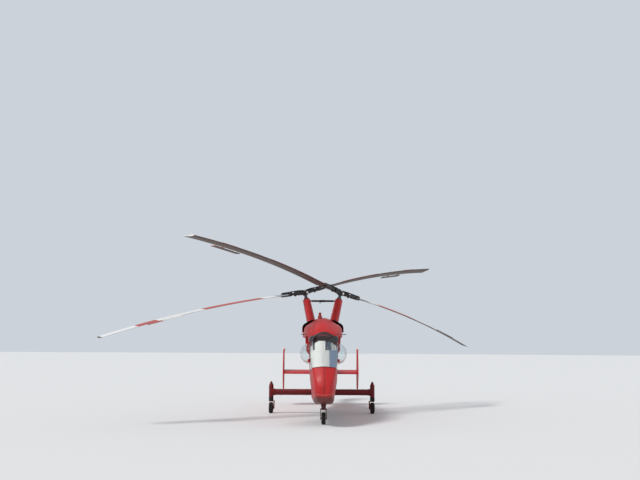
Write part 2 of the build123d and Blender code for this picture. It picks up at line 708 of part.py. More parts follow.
with BuildPart() as rudder:
    for height, chord in ((RUDDER_LOW, RUDDER_CHORD_LOW), (RUDDER_HIGH, RUDDER_CHORD_HIGH)):
        r = nose_radius(height)
        with BuildSketch(Plane((0, hinge_y(height), level(height)), x_dir=(0, 1, 0), z_dir=(0, 0, 1))):
            with BuildLine():
                CenterArc((0, 0), r, 90, 180)
                Polyline((0, -r), (chord, -6), (chord, 6), (0, r))
            make_face()
    loft()
    for height in RUDDER_HINGES:
        with Locations((0, hinge_y(height), level(height))):
            Box(200, 110, 30, mode=Mode.SUBTRACT)
    for height in RUDDER_HINGES:
        with Locations(Location((0, hinge_y(height), level(height)), (-HINGE_LEAN, 0, 0))):
            Cylinder(RUDDER_PIN, 60)
save(rudder.part, "rudder")

FIN_LEAD_LOW, FIN_LEAD_HIGH = 6120.0, 7330.0
BRACKET, BRACKET_ROOT = 16.0, 20.0
with BuildPart() as fin:
    for height, lead in ((FIN_LOW, FIN_LEAD_LOW), (FIN_HIGH, FIN_LEAD_HIGH)):
        r = nose_radius(height) + 6
        back = hinge_y(height) - r - 2
        belly = r * 1.35
        quarter = (back - lead) * 0.32
        with BuildSketch(Plane((0, 0, level(height)), x_dir=(0, 1, 0), z_dir=(0, 0, 1))):
            with BuildLine():
                EllipticalCenterArc((lead + quarter, 0), quarter, belly, 90, arc_size=180)
                Polyline((lead + quarter, -belly), (back, -r), (back, r), (lead + quarter, belly))
            make_face()
    loft()
    for height in RUDDER_HINGES[1:]:
        with Locations((0, hinge_y(height) - 40, level(height))):
            Box(30, 80, BRACKET)
        with Locations((0, hinge_y(height), level(height))):
            Cylinder(18, BRACKET)
        with Locations(Location((0, hinge_y(height), level(height)), (-HINGE_LEAN, 0, 0))):
            Cylinder(RUDDER_PIN + SEAT_GAP, 60, mode=Mode.SUBTRACT)
save(fin.part, "fin")

# Tail boom: a closed skin ahead of the tailplane, open to the centre body, with the fin's root let into it
# and the rudder's lowest bracket on its end.
with BuildPart() as tail_boom:
    add(boom_outer.part)
    loft(faces(BOOM_RINGS[:3], BOOM_WALL), mode=Mode.SUBTRACT)
    add(fin.part, mode=Mode.SUBTRACT)
    low_hinge = RUDDER_HINGES[0]
    bracket_length = hinge_y(low_hinge) - BOOM_END + BRACKET_ROOT
    with Locations((0, hinge_y(low_hinge) - bracket_length / 2, level(low_hinge))):
        Box(30, bracket_length, BRACKET)
    with Locations((0, hinge_y(low_hinge), level(low_hinge))):
        Cylinder(18, BRACKET)
    with Locations(Location((0, hinge_y(low_hinge), level(low_hinge)), (-HINGE_LEAN, 0, 0))):
        Cylinder(RUDDER_PIN + SEAT_GAP, 60, mode=Mode.SUBTRACT)
save(tail_boom.part, "tail_boom")

# Tailplane through the boom, leading edge low, with an upright plate at each tip.
TAIL_Y, TAIL_HEIGHT = 5130.0, 1330.0
TAIL_CHORD, TAIL_THICKNESS = 900.0, 100.0
TAIL_HALF_SPAN = 1480.0
TAIL_DROOP = 8.0
with BuildPart() as tailplane:
    for x in (-TAIL_HALF_SPAN, TAIL_HALF_SPAN):
        chord_dir = (0, cos(radians(TAIL_DROOP)), sin(radians(TAIL_DROOP)))
        with BuildSketch(Plane((x, TAIL_Y, level(TAIL_HEIGHT)), x_dir=chord_dir, z_dir=(1, 0, 0))):
            with BuildLine():
                EllipticalCenterArc((-TAIL_CHORD * 0.2, 0), TAIL_CHORD * 0.3, TAIL_THICKNESS / 2, 90, arc_size=180)
                Polyline(
                    (-TAIL_CHORD * 0.2, -TAIL_THICKNESS / 2),
                    (TAIL_CHORD / 2, -5),
                    (TAIL_CHORD / 2, 5),
                    (-TAIL_CHORD * 0.2, TAIL_THICKNESS / 2),
                )
            make_face()
    loft()
    add(boom_outer.part, mode=Mode.SUBTRACT)
save(tailplane.part, "tailplane")

PLATE_THICKNESS = 46.0
with BuildPart() as end_plates:
    for side in (1, -1):
        with BuildSketch(Plane.YZ.offset(side * (TAIL_HALF_SPAN + PLATE_THICKNESS / 2) - PLATE_THICKNESS / 2)):
            with BuildLine():
                FilletPolyline(
                    *[
                        (y, level(h))
                        for y, h in (
                            (4700, 1250),
                            (5010, 2240),
                            (5480, 2240),
                            (5640, 1250),
                            (5480, 630),
                            (5060, 630),
                        )
                    ],
                    radius=[300, 130, 130, 400, 130, 150],
                    close=True,
                )
            make_face()
        extrude(amount=PLATE_THICKNESS)
    fillet(end_plates.edges().filter_by(GeomType.LINE, reverse=True), 15)
save(end_plates.part, "end_plates")

# Rotor heads and blades.
# Columns: name, side of the body, bearing of the arm line, tilt of the arm line, cone of the arms,
# lag of each end's blade. The first end of the line points aft, the second forward.
ROTORS = [
    ("left", 1, 49.5, -2.7, 3.1, (-7.2, 4.1)),
    ("right", -1, 40.5, 2.2, 4.45, (4.5, -7.4)),
]
ENDS = ("aft", "fore")
HUB_RADIUS, HUB_THICKNESS = 92.0, 150.0
ARM_WIDTH, ARM_THICKNESS_HUB = 150.0, 96.0
EAR_THICKNESS = 24.0
EAR_START = 330.0
EAR_RADIUS = 64.0
LAG_PIN = 26.0
GRIP_WIDTH, GRIP_THICKNESS = 150.0, 108.0
GRIP_START, GRIP_END = 150.0, 520.0
CUFF_WIDTH, CUFF_THICKNESS = 150.0, 64.0
ROOT_START = 260.0
FOIL_START = 560.0
DAMPER_RADIUS, DAMPER_ROD = 34.0, 18.0
DAMPER_END = 80.0
DAMPER_OFFSET = 130.0
DAMPER_HUB_REACH, DAMPER_GRIP_REACH = 190.0, 280.0
LUG_RADIUS, LUG_HEIGHT = 26.0, 70.0
MAST_RADIUS = 52.0
FLAP_START, FLAP_END = 4450.0, 5550.0
FLAP_CHORD, FLAP_THICKNESS = 200.0, 24.0
FLAP_OFFSET = 400.0
ARM_BAR = 26.0


def hub_frame(side):
    """Frame at the hub centre, Z along the mast."""
    return Location((side * MAST_HALF_SPACING, 0, level(HUB_HEIGHT)), (0, side * MAST_CANT, 0))


def arm_frame(rotor, end):
    """Frame at the hub centre, X out along one arm."""
    name, side, bearing, tilt, cone, lags = rotor
    rise = cone + (tilt if end == 0 else -tilt)
    return hub_frame(side) * Location((0, 0, 0), (0, 0, bearing + 180 * end)) * Location((0, 0, 0), (0, -rise, 0))


def grip_frame(rotor, end):
    """Frame at the lag pin, X out along the blade's root."""
    return arm_frame(rotor, end) * Location((LAG_ARM, 0, 0)) * Location((0, 0, 0), (0, 0, rotor[5][end]))


def blade_frame(rotor, end, reach):
    """Frame on the drooped blade at a reach from the lag pin, X outwards, Z up through the section."""
    turn = degrees((reach - ROOT_START) / BLADE_DROOP_RADIUS)
    out = BLADE_DROOP_RADIUS * sin(radians(turn))
    drop = BLADE_DROOP_RADIUS * (1 - cos(radians(turn)))
    return grip_frame(rotor, end) * Location((ROOT_START + out, 0, -drop), (0, turn, 0))


def section_plane(frame):
    """Plane across a blade: its X along the chord, its normal outwards."""
    plane = Plane(frame)
    return Plane(origin=plane.origin, x_dir=plane.y_dir, z_dir=plane.x_dir)


def foil_face(plane, trailing, chord, thickness, lead_share=0.25, tail=3.0):
    """Blade section: an elliptical nose and straight flanks to the trailing edge."""
    crest = chord * (0.3 - lead_share) * trailing
    back = chord * (1 - lead_share) * trailing
    start = 90 if trailing > 0 else -90
    with BuildSketch(plane) as face:
        with BuildLine():
            EllipticalCenterArc((crest, 0), chord * 0.3, thickness / 2, start, arc_size=180)
            first = trailing * thickness / 2
            Polyline((crest, -first), (back, -tail * trailing), (back, tail * trailing), (crest, first))
        make_face()
    return face.sketch


for rotor in ROTORS:
    name, side = rotor[0], rotor[1]
    trailing = -side
    hub = hub_frame(side)
    with BuildPart() as mast:
        with Locations(hub * Location((0, 0, -PYLON_TOP_DROP + COLLAR_HEIGHT + SEAT_GAP))):
            Cylinder(
                MAST_RADIUS,
                PYLON_TOP_DROP - COLLAR_HEIGHT - SEAT_GAP - HUB_THICKNESS / 2,
                align=(Align.CENTER, Align.CENTER, Align.MIN),
            )
            Cylinder(MAST_RADIUS + 26, 40, align=(Align.CENTER, Align.CENTER, Align.MIN))
    save(mast.part, f"mast_{name}")

    with BuildPart() as hub_head:
        with Locations(hub):
            Cylinder(HUB_RADIUS, HUB_THICKNESS)
        for end in (0, 1):
            arm = arm_frame(rotor, end)
            with Locations(arm * Location((EAR_START / 2 + 5, 0, 0))):
                Box(EAR_START + 10, ARM_WIDTH, ARM_THICKNESS_HUB)
            for up in (1, -1):
                ear_z = up * (ARM_THICKNESS_HUB - EAR_THICKNESS) / 2
                with Locations(arm * Location(((EAR_START + LAG_ARM) / 2, 0, ear_z))):
                    Box(LAG_ARM - EAR_START, 2 * EAR_RADIUS, EAR_THICKNESS)
                with Locations(arm * Location((LAG_ARM, 0, ear_z))):
                    Cylinder(EAR_RADIUS, EAR_THICKNESS)
            with Locations(arm * Location((LAG_ARM, 0, 0))):
                Cylinder(LAG_PIN, 2 * HUB_THICKNESS, mode=Mode.SUBTRACT)
            with Locations(arm * Location((DAMPER_HUB_REACH, trailing * DAMPER_OFFSET / 2, 0))):
                Box(40, DAMPER_OFFSET, 40)
            with Locations(arm * Location((DAMPER_HUB_REACH, trailing * DAMPER_OFFSET, 0))):
                Cylinder(LUG_RADIUS, LUG_HEIGHT)
    save(hub_head.part, f"hub_{name}")

    blades = []
    for end in (0, 1):
        root = blade_frame(rotor, end, ROOT_START)
        pitched = Location((0, 0, 0), (-BLADE_PITCH * trailing, 0, 0))
        foil_root = blade_frame(rotor, end, FOIL_START) * pitched
        with BuildPart() as blade:
            face = foil_face(section_plane(foil_root), trailing, BLADE_CHORD, BLADE_THICKNESS)
            start = blade_frame(rotor, end, FOIL_START)
            centre = start * Location((0, 0, -BLADE_DROOP_RADIUS))
            droop_axis = Axis(centre.position, Plane(start).y_dir)
            sweep_angle = degrees((ROTOR_RADIUS - LAG_ARM - FOIL_START) / BLADE_DROOP_RADIUS)
            revolve(face, axis=droop_axis, revolution_arc=sweep_angle)
            cuff_face = foil_face(section_plane(root * pitched), trailing, CUFF_WIDTH, CUFF_THICKNESS, 0.5, CUFF_THICKNESS / 3)
            loft([cuff_face, face])
        save(blade.part, f"blade_{name}_{ENDS[end]}")
        blades.append(blade.part)

    with BuildPart() as grips:
        for end in (0, 1):
            grip = grip_frame(rotor, end)
            tongue = ARM_THICKNESS_HUB - 2 * EAR_THICKNESS
            with Locations(grip):
                Cylinder(EAR_RADIUS - 4, tongue)
                Cylinder(LAG_PIN, ARM_THICKNESS_HUB + 30)
            with Locations(grip * Location((GRIP_START / 2, 0, 0))):
                Box(GRIP_START, 2 * EAR_RADIUS - 8, tongue)
            with Locations(grip * Location(((GRIP_START + GRIP_END) / 2, 0, 0))):
                Box(GRIP_END - GRIP_START, GRIP_WIDTH, GRIP_THICKNESS)
            with Locations(grip * Location((DAMPER_GRIP_REACH, trailing * DAMPER_OFFSET / 2, 0))):
                Box(40, DAMPER_OFFSET, 40)
            with Locations(grip * Location((DAMPER_GRIP_REACH, trailing * DAMPER_OFFSET, 0))):
                Cylinder(LUG_RADIUS, LUG_HEIGHT)
        for blade_part in blades:
            add(blade_part, mode=Mode.SUBTRACT)
        add(hub_head.part, mode=Mode.SUBTRACT)
    save(grips.part, f"grips_{name}")

    with BuildPart() as dampers:
        for end in (0, 1):
            inner = arm_frame(rotor, end) * Location((DAMPER_HUB_REACH, trailing * DAMPER_OFFSET, 0))
            outer = grip_frame(rotor, end) * Location((DAMPER_GRIP_REACH, trailing * DAMPER_OFFSET, 0))
            line = outer.position - inner.position
            for radius, start in ((DAMPER_ROD, 0), (DAMPER_RADIUS, DAMPER_END)):
                with BuildSketch(Plane(origin=inner.position, z_dir=line).offset(start)):
                    Circle(radius)
                extrude(amount=line.length - 2 * start)
        add(hub_head.part, mode=Mode.SUBTRACT)
        add(grips.part, mode=Mode.SUBTRACT)
    save(dampers.part, f"lag_dampers_{name}")

    with BuildPart() as servo_flaps:
        for end in (0, 1):
            middle = blade_frame(rotor, end, (FLAP_START + FLAP_END) / 2)
            middle = middle * Location((0, 0, 0), (-BLADE_PITCH * trailing, 0, 0))
            half_span = (FLAP_END - FLAP_START) / 2
            inboard = section_plane(middle * Location((-half_span, trailing * FLAP_OFFSET, 0)))
            extrude(foil_face(inboard, trailing, FLAP_CHORD, FLAP_THICKNESS, 0), amount=2 * half_span)
            for along in (-0.55, 0.55):
                with Locations(middle * Location((along * half_span, trailing * 320, 0))):
                    Box(ARM_BAR, 260, 18)
        for blade_part in blades:
            add(blade_part, mode=Mode.SUBTRACT)
    save(servo_flaps.part, f"servo_flaps_{name}")
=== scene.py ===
import bpy
import bmesh
import json
from math import cos, pi, radians, sin
from mathutils import Matrix, Vector, noise
from mathutils.bvhtree import BVHTree


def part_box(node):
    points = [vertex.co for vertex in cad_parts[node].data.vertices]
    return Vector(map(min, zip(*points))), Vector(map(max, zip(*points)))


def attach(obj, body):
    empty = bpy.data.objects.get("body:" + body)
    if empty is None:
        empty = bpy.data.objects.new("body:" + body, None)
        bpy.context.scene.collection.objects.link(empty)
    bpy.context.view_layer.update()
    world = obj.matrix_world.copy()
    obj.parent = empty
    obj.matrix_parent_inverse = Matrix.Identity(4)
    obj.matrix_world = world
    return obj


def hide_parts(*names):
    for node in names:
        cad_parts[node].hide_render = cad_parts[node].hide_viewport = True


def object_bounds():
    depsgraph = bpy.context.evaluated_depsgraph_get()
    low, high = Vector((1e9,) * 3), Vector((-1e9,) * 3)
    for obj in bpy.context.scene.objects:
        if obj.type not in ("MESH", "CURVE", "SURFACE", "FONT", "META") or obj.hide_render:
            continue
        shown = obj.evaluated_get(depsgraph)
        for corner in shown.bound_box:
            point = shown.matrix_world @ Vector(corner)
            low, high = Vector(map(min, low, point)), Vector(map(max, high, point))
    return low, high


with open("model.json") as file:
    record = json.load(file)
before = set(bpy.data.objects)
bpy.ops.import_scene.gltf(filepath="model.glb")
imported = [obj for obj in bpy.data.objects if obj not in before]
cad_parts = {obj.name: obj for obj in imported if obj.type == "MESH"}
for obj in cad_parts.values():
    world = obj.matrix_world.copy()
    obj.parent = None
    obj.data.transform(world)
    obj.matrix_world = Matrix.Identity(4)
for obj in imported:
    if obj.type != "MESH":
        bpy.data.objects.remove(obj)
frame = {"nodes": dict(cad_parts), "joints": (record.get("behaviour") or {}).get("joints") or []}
cad_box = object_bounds()
NODES = frame["nodes"]


# Viewpoint and studio: the camera stands some 22 m ahead of the nose at eye height and looks slightly up.
# The floor is one pale sheet under the wheels; a wide sky and one soft key lamp light the machine evenly.
EYE = (-0.368, -26.24, 1.772)
LOOK_UP, LOOK_LEFT, ROLL = radians(8.25), -0.010, 0.006
LENS, FILM = 42.75, 36.0
FLOOR_LEVEL, FLOOR_RADIUS = cad_box[0][2], 500.0
FLOOR_COLOUR, FLOOR_GRAIN = (0.78, 0.78, 0.77, 1), (0.66, 0.66, 0.66, 1)
SKY_LIGHT, SKY_SHOWN, SKY_STRENGTH = (0.80, 0.83, 0.88, 1), (0.60, 0.645, 0.70, 1), 0.62
KEY_TURN, KEY_STRENGTH, KEY_SPREAD = (radians(38), 0, radians(-52)), 1.9, radians(14)


class Field:
    """A value that varies over a surface. Each operator on it adds one Math node."""

    def __init__(self, finish, socket):
        self.finish = finish
        self.socket = socket

    def math(self, operation, first, second=None):
        return self.finish.node("Math", {"operation": operation}, [first, second])

    def __add__(self, other):
        return self.math("ADD", self, other)

    def __sub__(self, other):
        return self.math("SUBTRACT", self, other)

    def __rsub__(self, other):
        return self.math("SUBTRACT", other, self)

    def __mul__(self, other):
        return self.math("MULTIPLY", self, other)

    def __truediv__(self, other):
        return self.math("DIVIDE", self, other)

    def __gt__(self, other):
        return self.math("GREATER_THAN", self, other)

    def __lt__(self, other):
        return self.math("LESS_THAN", self, other)

    __radd__, __rmul__ = __add__, __mul__

    def __abs__(self):
        return self.math("ABSOLUTE", self)

    def steps(self, pitch):
        """Saw from 0 to 1 that repeats at a pitch."""
        return self.math("FRACT", self / pitch)

    def ripple(self, pitch):
        """Wave from 0 to 1 that repeats at a pitch."""
        return self.math("SINE", self * (2 * pi / pitch)) * 0.5 + 0.5

    def clamp(self):
        return self.finish.node("Clamp", {}, [self])


class Finish:
    """The node tree of one material, or of the sky."""

    def __init__(self, name, store=bpy.data.materials):
        self.owner = store.new(name)
        self.owner.use_nodes = True
        self.tree = self.owner.node_tree
        self.tree.nodes.clear()

    def node(self, kind, settings=(), inputs=(), output=0):
        """Add a node, set it up, then fill or link its sockets, and give one output."""
        made = self.tree.nodes.new("ShaderNode" + kind)
        for key, value in dict(settings).items():
            setattr(made, key, value)
        pairs = inputs.items() if isinstance(inputs, dict) else enumerate(inputs)
        for key, value in pairs:
            if isinstance(value, Field):
                self.tree.links.new(value.socket, made.inputs[key])
            elif value is not None:
                made.inputs[key].default_value = value
        return Field(self, made.outputs[output] if len(made.outputs) else None)

    def place(self):
        """X, Y and Z of the point on the resting machine."""
        spot = self.node("TexCoord", output=3)
        return [self.node("SeparateXYZ", {}, [spot], axis) for axis in range(3)]

    def upward(self):
        """Z of the surface's direction."""
        return self.node("SeparateXYZ", {}, [self.node("TexCoord", output=1)], 2)

    def speckle(self, scale, detail=4.0, rough=0.6, stretch=(1, 1, 1)):
        """Soft noise from 0 to 1 over the machine."""
        spot = self.node("TexCoord", output=3)
        scaled = self.node("VectorMath", {"operation": "MULTIPLY"}, [spot, stretch])
        grain = {"Vector": scaled, "Scale": scale, "Detail": detail, "Roughness": rough}
        return self.node("TexNoise", {}, grain)

    def mix(self, share, first, second):
        """Colour between two colours."""
        return self.node("Mix", {"data_type": "RGBA"}, {0: share, 6: first, 7: second}, 2)

    def bump(self, height, distance):
        """Relief of a height field, as deep as a distance."""
        return self.node("Bump", {}, {"Height": height, "Distance": distance})

    def done(self, **sockets):
        """Principled shader with these sockets, on the material's output."""
        named = {key.replace("_", " "): value for key, value in sockets.items()}
        self.node("OutputMaterial", {}, [self.node("BsdfPrincipled", {}, named)])
        return self.owner


scene = bpy.context.scene
scene.view_settings.view_transform = "Standard"
optics = bpy.data.cameras.new("Viewpoint")
optics.lens, optics.sensor_width, optics.clip_end = LENS, FILM, 2 * FLOOR_RADIUS
camera = bpy.data.objects.new("Viewpoint", optics)
turn = Matrix.Rotation(LOOK_LEFT, 4, "Z") @ Matrix.Rotation(pi / 2 + LOOK_UP, 4, "X")
camera.matrix_world = Matrix.Translation(EYE) @ turn @ Matrix.Rotation(ROLL, 4, "Z")
scene.collection.objects.link(camera)
scene.camera = camera

lamp = bpy.data.lights.new("Key", "SUN")
lamp.energy, lamp.angle = KEY_STRENGTH, KEY_SPREAD
key = bpy.data.objects.new("Key", lamp)
key.rotation_euler = KEY_TURN
scene.collection.objects.link(key)

sky = Finish("Sky", bpy.data.worlds)
rays = [f"Is {kind} Ray" for kind in ("Camera", "Glossy", "Transmission")]
seen, mirrored, through = [sky.node("LightPath", output=ray) for ray in rays]
light = sky.node("Background", {}, [SKY_LIGHT, SKY_STRENGTH])
shown = sky.node("Background", {}, [SKY_SHOWN, 1.0])
sky.node("OutputWorld", {}, [sky.node("MixShader", {}, [(seen + mirrored + through).clamp(), light, shown])])
scene.world = sky.owner

sheet = bmesh.new()
bmesh.ops.create_circle(sheet, cap_ends=True, segments=96, radius=FLOOR_RADIUS)
mesh = bpy.data.meshes.new("studio_floor")
sheet.to_mesh(mesh)
floor = bpy.data.objects.new("studio_floor", mesh)
floor.location.z = FLOOR_LEVEL
scene.collection.objects.link(floor)
paper = Finish("floor_paper")
tint = paper.mix(paper.speckle(3.0) * 0.06, FLOOR_COLOUR, FLOOR_GRAIN)
mesh.materials.append(paper.done(Base_Color=tint, Roughness=0.85))


# Body skins: riveted light-alloy panels under deep red enamel. Seams stand at the frames between rows of
# rivets. Dust fades the paint, oil and earth darken the belly with painted shade over them, and soot lies on
# the boom behind the exhaust.
RED, RED_FADED, RED_GRIMY = (0.50, 0.016, 0.018, 1), (0.60, 0.038, 0.034, 1), (0.24, 0.013, 0.013, 1)
# The gear's red is darker than the body's red as painted shade under the fuselage.
GEAR_RED_SHADED, LEG_RED = (0.155, 0.007, 0.008, 1), (0.075, 0.010, 0.009, 1)
# The belly colour is dirt together with painted shade under the body.
BELLY_SHADE_AND_DIRT, SOOT, SEAM_DARK = (0.070, 0.020, 0.014, 1), (0.022, 0.016, 0.015, 1), (0.06, 0.007, 0.008, 1)
SHADE_AND_DIRT_LEVEL, SHADE_AND_DIRT_CLIMB, NOSE_JOINT = 0.36, 0.155, -3.0
SOOT_LENGTH = 3.4
SEAM_WIDTH = 0.004
RIVET_PITCH, RIVET_OFFSET, RIVET_RADIUS = 0.045, 0.022, 0.0045


def paint(names, finish_material):
    """Give CAD nodes their material."""
    for name in names:
        slots = NODES[name].data.materials
        slots.clear()
        slots.append(finish_material)


def red_skin(name, stations=(), heights=(), grime=0.35, base=RED, shade_and_dirt_below=None, soot_behind=None):
    """Red enamel with seams across at stations (Y) and along at heights (Z). Belly dirt and painted shade
    climb towards the nose.
    """
    finish = Finish(name)
    x, y, z = finish.place()
    cloud = finish.speckle(1.4, 5.0)
    streak = finish.speckle(9.0, 6.0, 0.65, (1, 1, 0.25))
    seams, rivets = 0.0, 0.0
    for line, across, along in [(s, y, z) for s in stations] + [(h, z, y) for h in heights]:
        offset = abs(across - line)
        seams = seams + (offset < SEAM_WIDTH)
        dot = (along.steps(RIVET_PITCH) - 0.5) * RIVET_PITCH
        away = offset - RIVET_OFFSET
        rivets = rivets + ((dot * dot + away * away) < RIVET_RADIUS**2)
    tone = finish.mix((cloud - 0.35).clamp(), base, RED_FADED) if base == RED else base
    dirty = ((streak - 0.5) * 2.2).clamp() * grime
    tone = finish.mix(dirty, tone, RED_GRIMY if base == RED else LEG_RED)
    relief = streak * 0.04
    # Below a level that climbs towards the nose the skin darkens: dirt and painted shade on the belly.
    if shade_and_dirt_below is not None:
        climb = (NOSE_JOINT - y).clamp() * SHADE_AND_DIRT_CLIMB
        depth = ((shade_and_dirt_below + climb - z) * 10 + (streak - 0.5) * 1.6).clamp()
        tone = finish.mix(depth * 0.85, tone, BELLY_SHADE_AND_DIRT)
    if soot_behind is not None:
        trail = ((y - soot_behind) * 2.0).clamp() * ((soot_behind + SOOT_LENGTH - y) * 0.35).clamp()
        narrow = (1.0 - abs(x) * 3.6 + (cloud - 0.5)).clamp()
        tone = finish.mix(trail * narrow * 0.8, tone, SOOT)
    if stations or heights:
        tone = finish.mix((seams * 0.75).clamp(), tone, SEAM_DARK)
        relief = relief - seams.clamp() + rivets.clamp() * 0.6
    return finish.done(
        Base_Color=tone,
        Roughness=0.36 + 0.24 * streak,
        Specular_IOR_Level=0.30,
        Coat_Weight=0.06,
        Coat_Roughness=0.2,
        Normal=finish.bump(relief, 0.002),
    )


cabin_seams = {"stations": (-1.92, -1.55), "heights": (0.52, 1.95)}
centre_seams = {"stations": (-0.8, -0.2, 0.4, 1.2), "heights": (0.55, 1.2, 1.75)}
boom_seams = {"stations": (2.3, 3.1, 3.9, 4.6, 5.7, 6.5), "heights": (1.3,)}
cowl_seams = {"stations": (1.5, 2.2, 2.9), "heights": (2.26, 2.45)}
paint(["nose_shell"], red_skin("nose_enamel", stations=(-3.45,), shade_and_dirt_below=SHADE_AND_DIRT_LEVEL))
paint(["cockpit_frame"], red_skin("cabin_enamel", shade_and_dirt_below=SHADE_AND_DIRT_LEVEL, **cabin_seams))
paint(["door_left", "door_right"], red_skin("door_enamel", heights=(0.72,)))
paint(["roof_hood"], red_skin("hood_enamel", stations=(-2.25, -1.3, 0.72), heights=(2.26,), grime=0.2))
paint(["engine_cowl"], red_skin("cowl_enamel", soot_behind=2.6, **cowl_seams))
paint(["centre_fuselage"], red_skin("body_enamel", shade_and_dirt_below=SHADE_AND_DIRT_LEVEL, **centre_seams))
paint(["tail_boom"], red_skin("boom_enamel", shade_and_dirt_below=SHADE_AND_DIRT_LEVEL, soot_behind=3.3, **boom_seams))
paint(["pylon_left", "pylon_right"], red_skin("pylon_enamel", heights=(2.72, 3.3), grime=0.3))
paint(["fin", "rudder"], red_skin("fin_enamel", heights=(1.62, 1.95, 2.28, 2.6)))
paint(["tailplane", "end_plates"], red_skin("tail_enamel", heights=(0.62, 1.2)))
# Gear beams and arms take the darker red as painted shade.
paint(["gear_beam_left", "gear_beam_right", "wheel_arms"], red_skin("gear_enamel_shaded", grime=0.7, base=GEAR_RED_SHADED))
paint(["nose_leg", "nose_fork"], red_skin("leg_enamel", grime=0.5, base=LEG_RED))


# Windows: blown acrylic, clear with a faint smoke tint. The windscreen sits in a black seal under a red
# strap with a row of screws; a dark arch and dark corner panes close its top, and slim posts stand behind
# it. Each door has a deep bubble.
STRAP_WIDTH, STRAP_PROUD = 0.028, 0.003
SEAL_WIDTH, SEAL_PROUD, SEAL_RISE = 0.012, 0.0045, Vector((0, 0, 0.006))
ARCH_LOW, ARCH_WIDTH = 2.0, 0.075
CORNER_X, CORNER_REAR, CORNER_ROWS = (0.33, 0.475), -2.91, (2.075, 2.115, 2.155, 2.195)
CORNER_WIDTH, CORNER_PROUD = 0.062, 0.004
POST_X, POST_WIDTH, POST_THICK, POST_INSET = 0.305, 0.045, 0.004, 0.020
TRIM_X, TRIM_WIDTH = 0.353, 0.028
POST_FEET, POST_DROP = [(-1, 1.79), (1, 2.07)], 0.06


def glass(name, tint):
    """Clear acrylic with smears where it was wiped."""
    finish = Finish(name)
    smear = finish.speckle(5.0, 6.0)
    rough = 0.02 + 0.10 * (smear - 0.5).clamp()
    return finish.done(Base_Color=tint, Roughness=rough, Transmission_Weight=1.0, IOR=1.38)


def plain(name, colour, rough, metal=0.0, grime=0.5, scale=12.0, dark=0.45):
    """Worn finish: a base colour that clouds towards a darker one, with fine relief."""
    finish = Finish(name)
    cloud = finish.speckle(scale, 6.0)
    fine = finish.speckle(scale * 9, 3.0)
    shade = tuple(c * dark for c in colour[:3]) + (1,)
    tone = finish.mix(((cloud - 0.42) * 3).clamp() * grime, colour, shade)
    return finish.done(
        Base_Color=tone,
        Roughness=rough + 0.16 * (cloud - 0.5),
        Metallic=metal,
        Normal=finish.bump(fine, 0.0006),
    )


def put(name, form, material, body="airframe", smooth=35):
    """Make a piece of a form and let it ride on a body."""
    bmesh.ops.recalc_face_normals(form, faces=form.faces)
    mesh = bpy.data.meshes.new(name)
    form.to_mesh(mesh)
    form.free()
    mesh.materials.append(material)
    mesh.shade_smooth()
    mesh.set_sharp_from_angle(angle=radians(smooth))
    piece = bpy.data.objects.new(name, mesh)
    scene.collection.objects.link(piece)
    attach(piece, body)
    return piece


def skin(*names):
    """Search tree of the outer faces of CAD nodes."""
    spots, faces = [], []
    for name in names:
        mesh, start = NODES[name].data, len(spots)
        spots += [v.co.copy() for v in mesh.vertices]
        faces += [[start + i for i in p.vertices] for p in mesh.polygons]
    return BVHTree.FromPolygons(spots, faces)


def meet(tree, start, aim):
    """Where a ray from start towards aim meets a skin, and the skin's direction there."""
    start, aim = Vector(start), Vector(aim)
    spot, normal, _, _ = tree.ray_cast(start, (aim - start).normalized())
    if spot is None:
        return None
    return spot, normal if normal.dot(aim - start) < 0 else -normal


def from_ahead(tree, x, z):
    """Where a skin is met from ahead of the nose."""
    return meet(tree, (x, -8, z), (x, 0, z))


def from_side(tree, side, y, z):
    """Where a skin is met from the left (1) or the right (-1)."""
    return meet(tree, (side * 2, y, z), (0, y, z))


def bridge(form, rows, closed=False):
    """Join rows of points into a bar with two ends, or into a ring."""
    rings = [[form.verts.new(point) for point in row] for row in rows]
    size = len(rings[0])
    for low, high in zip(rings, rings[1:] + rings[:1] * closed):
        for k in range(size):
            form.faces.new((low[k], low[(k + 1) % size], high[(k + 1) % size], high[k]))
    if not closed:
        form.faces.new(reversed(rings[0]))
        form.faces.new(rings[-1])


def spread(start, end, count):
    """Values spaced evenly from start to end."""
    return [start + (end - start) * k / (count - 1) for k in range(count)]


def strap(form, hits, width, proud, closed=False):
    """Flat band laid over points of a skin."""
    hits = [hit for hit in hits if hit]
    count, rows = len(hits), []
    for k, (spot, normal) in enumerate(hits):
        after = hits[(k + 1) % count][0] if closed or k + 1 < count else spot
        before = hits[k - 1][0] if closed or k else spot
        across = (after - before).cross(normal).normalized() * width / 2
        lift = normal * proud
        rows.append((spot - across - lift, spot - across + lift, spot + across + lift, spot + across - lift))
    bridge(form, rows, closed)


def circle(count, radius=1.0):
    """Points spaced evenly round a circle."""
    return [(radius * cos(2 * pi * k / count), radius * sin(2 * pi * k / count)) for k in range(count)]


def turned(form, place, profile, sides=24, hollow=False):
    """Solid of (radius, height) pairs turned about the Z axis of a place, or a hollow ring of them."""
    rows = [[place @ Vector((x, y, height)) for x, y in circle(sides, radius)] for radius, height in profile]
    bridge(form, rows, hollow)


def facing(spot, normal):
    """Place at a spot with its Z along a direction."""
    return Matrix.Translation(spot) @ Vector(normal).to_track_quat("Z", "Y").to_matrix().to_4x4()


def stud(form, spot, normal, radius=0.006, rise=0.0028):
    """Domed rivet head."""
    profile = [(radius, -0.001), (radius * 0.92, rise * 0.6), (radius * 0.45, rise)]
    turned(form, facing(spot, normal), profile, 8)


paint(["windscreen"], glass("screen_acrylic", (0.965, 0.975, 0.975, 1)))
paint(["door_window_left", "door_window_right"], glass("bubble_acrylic", (0.90, 0.94, 0.95, 1)))

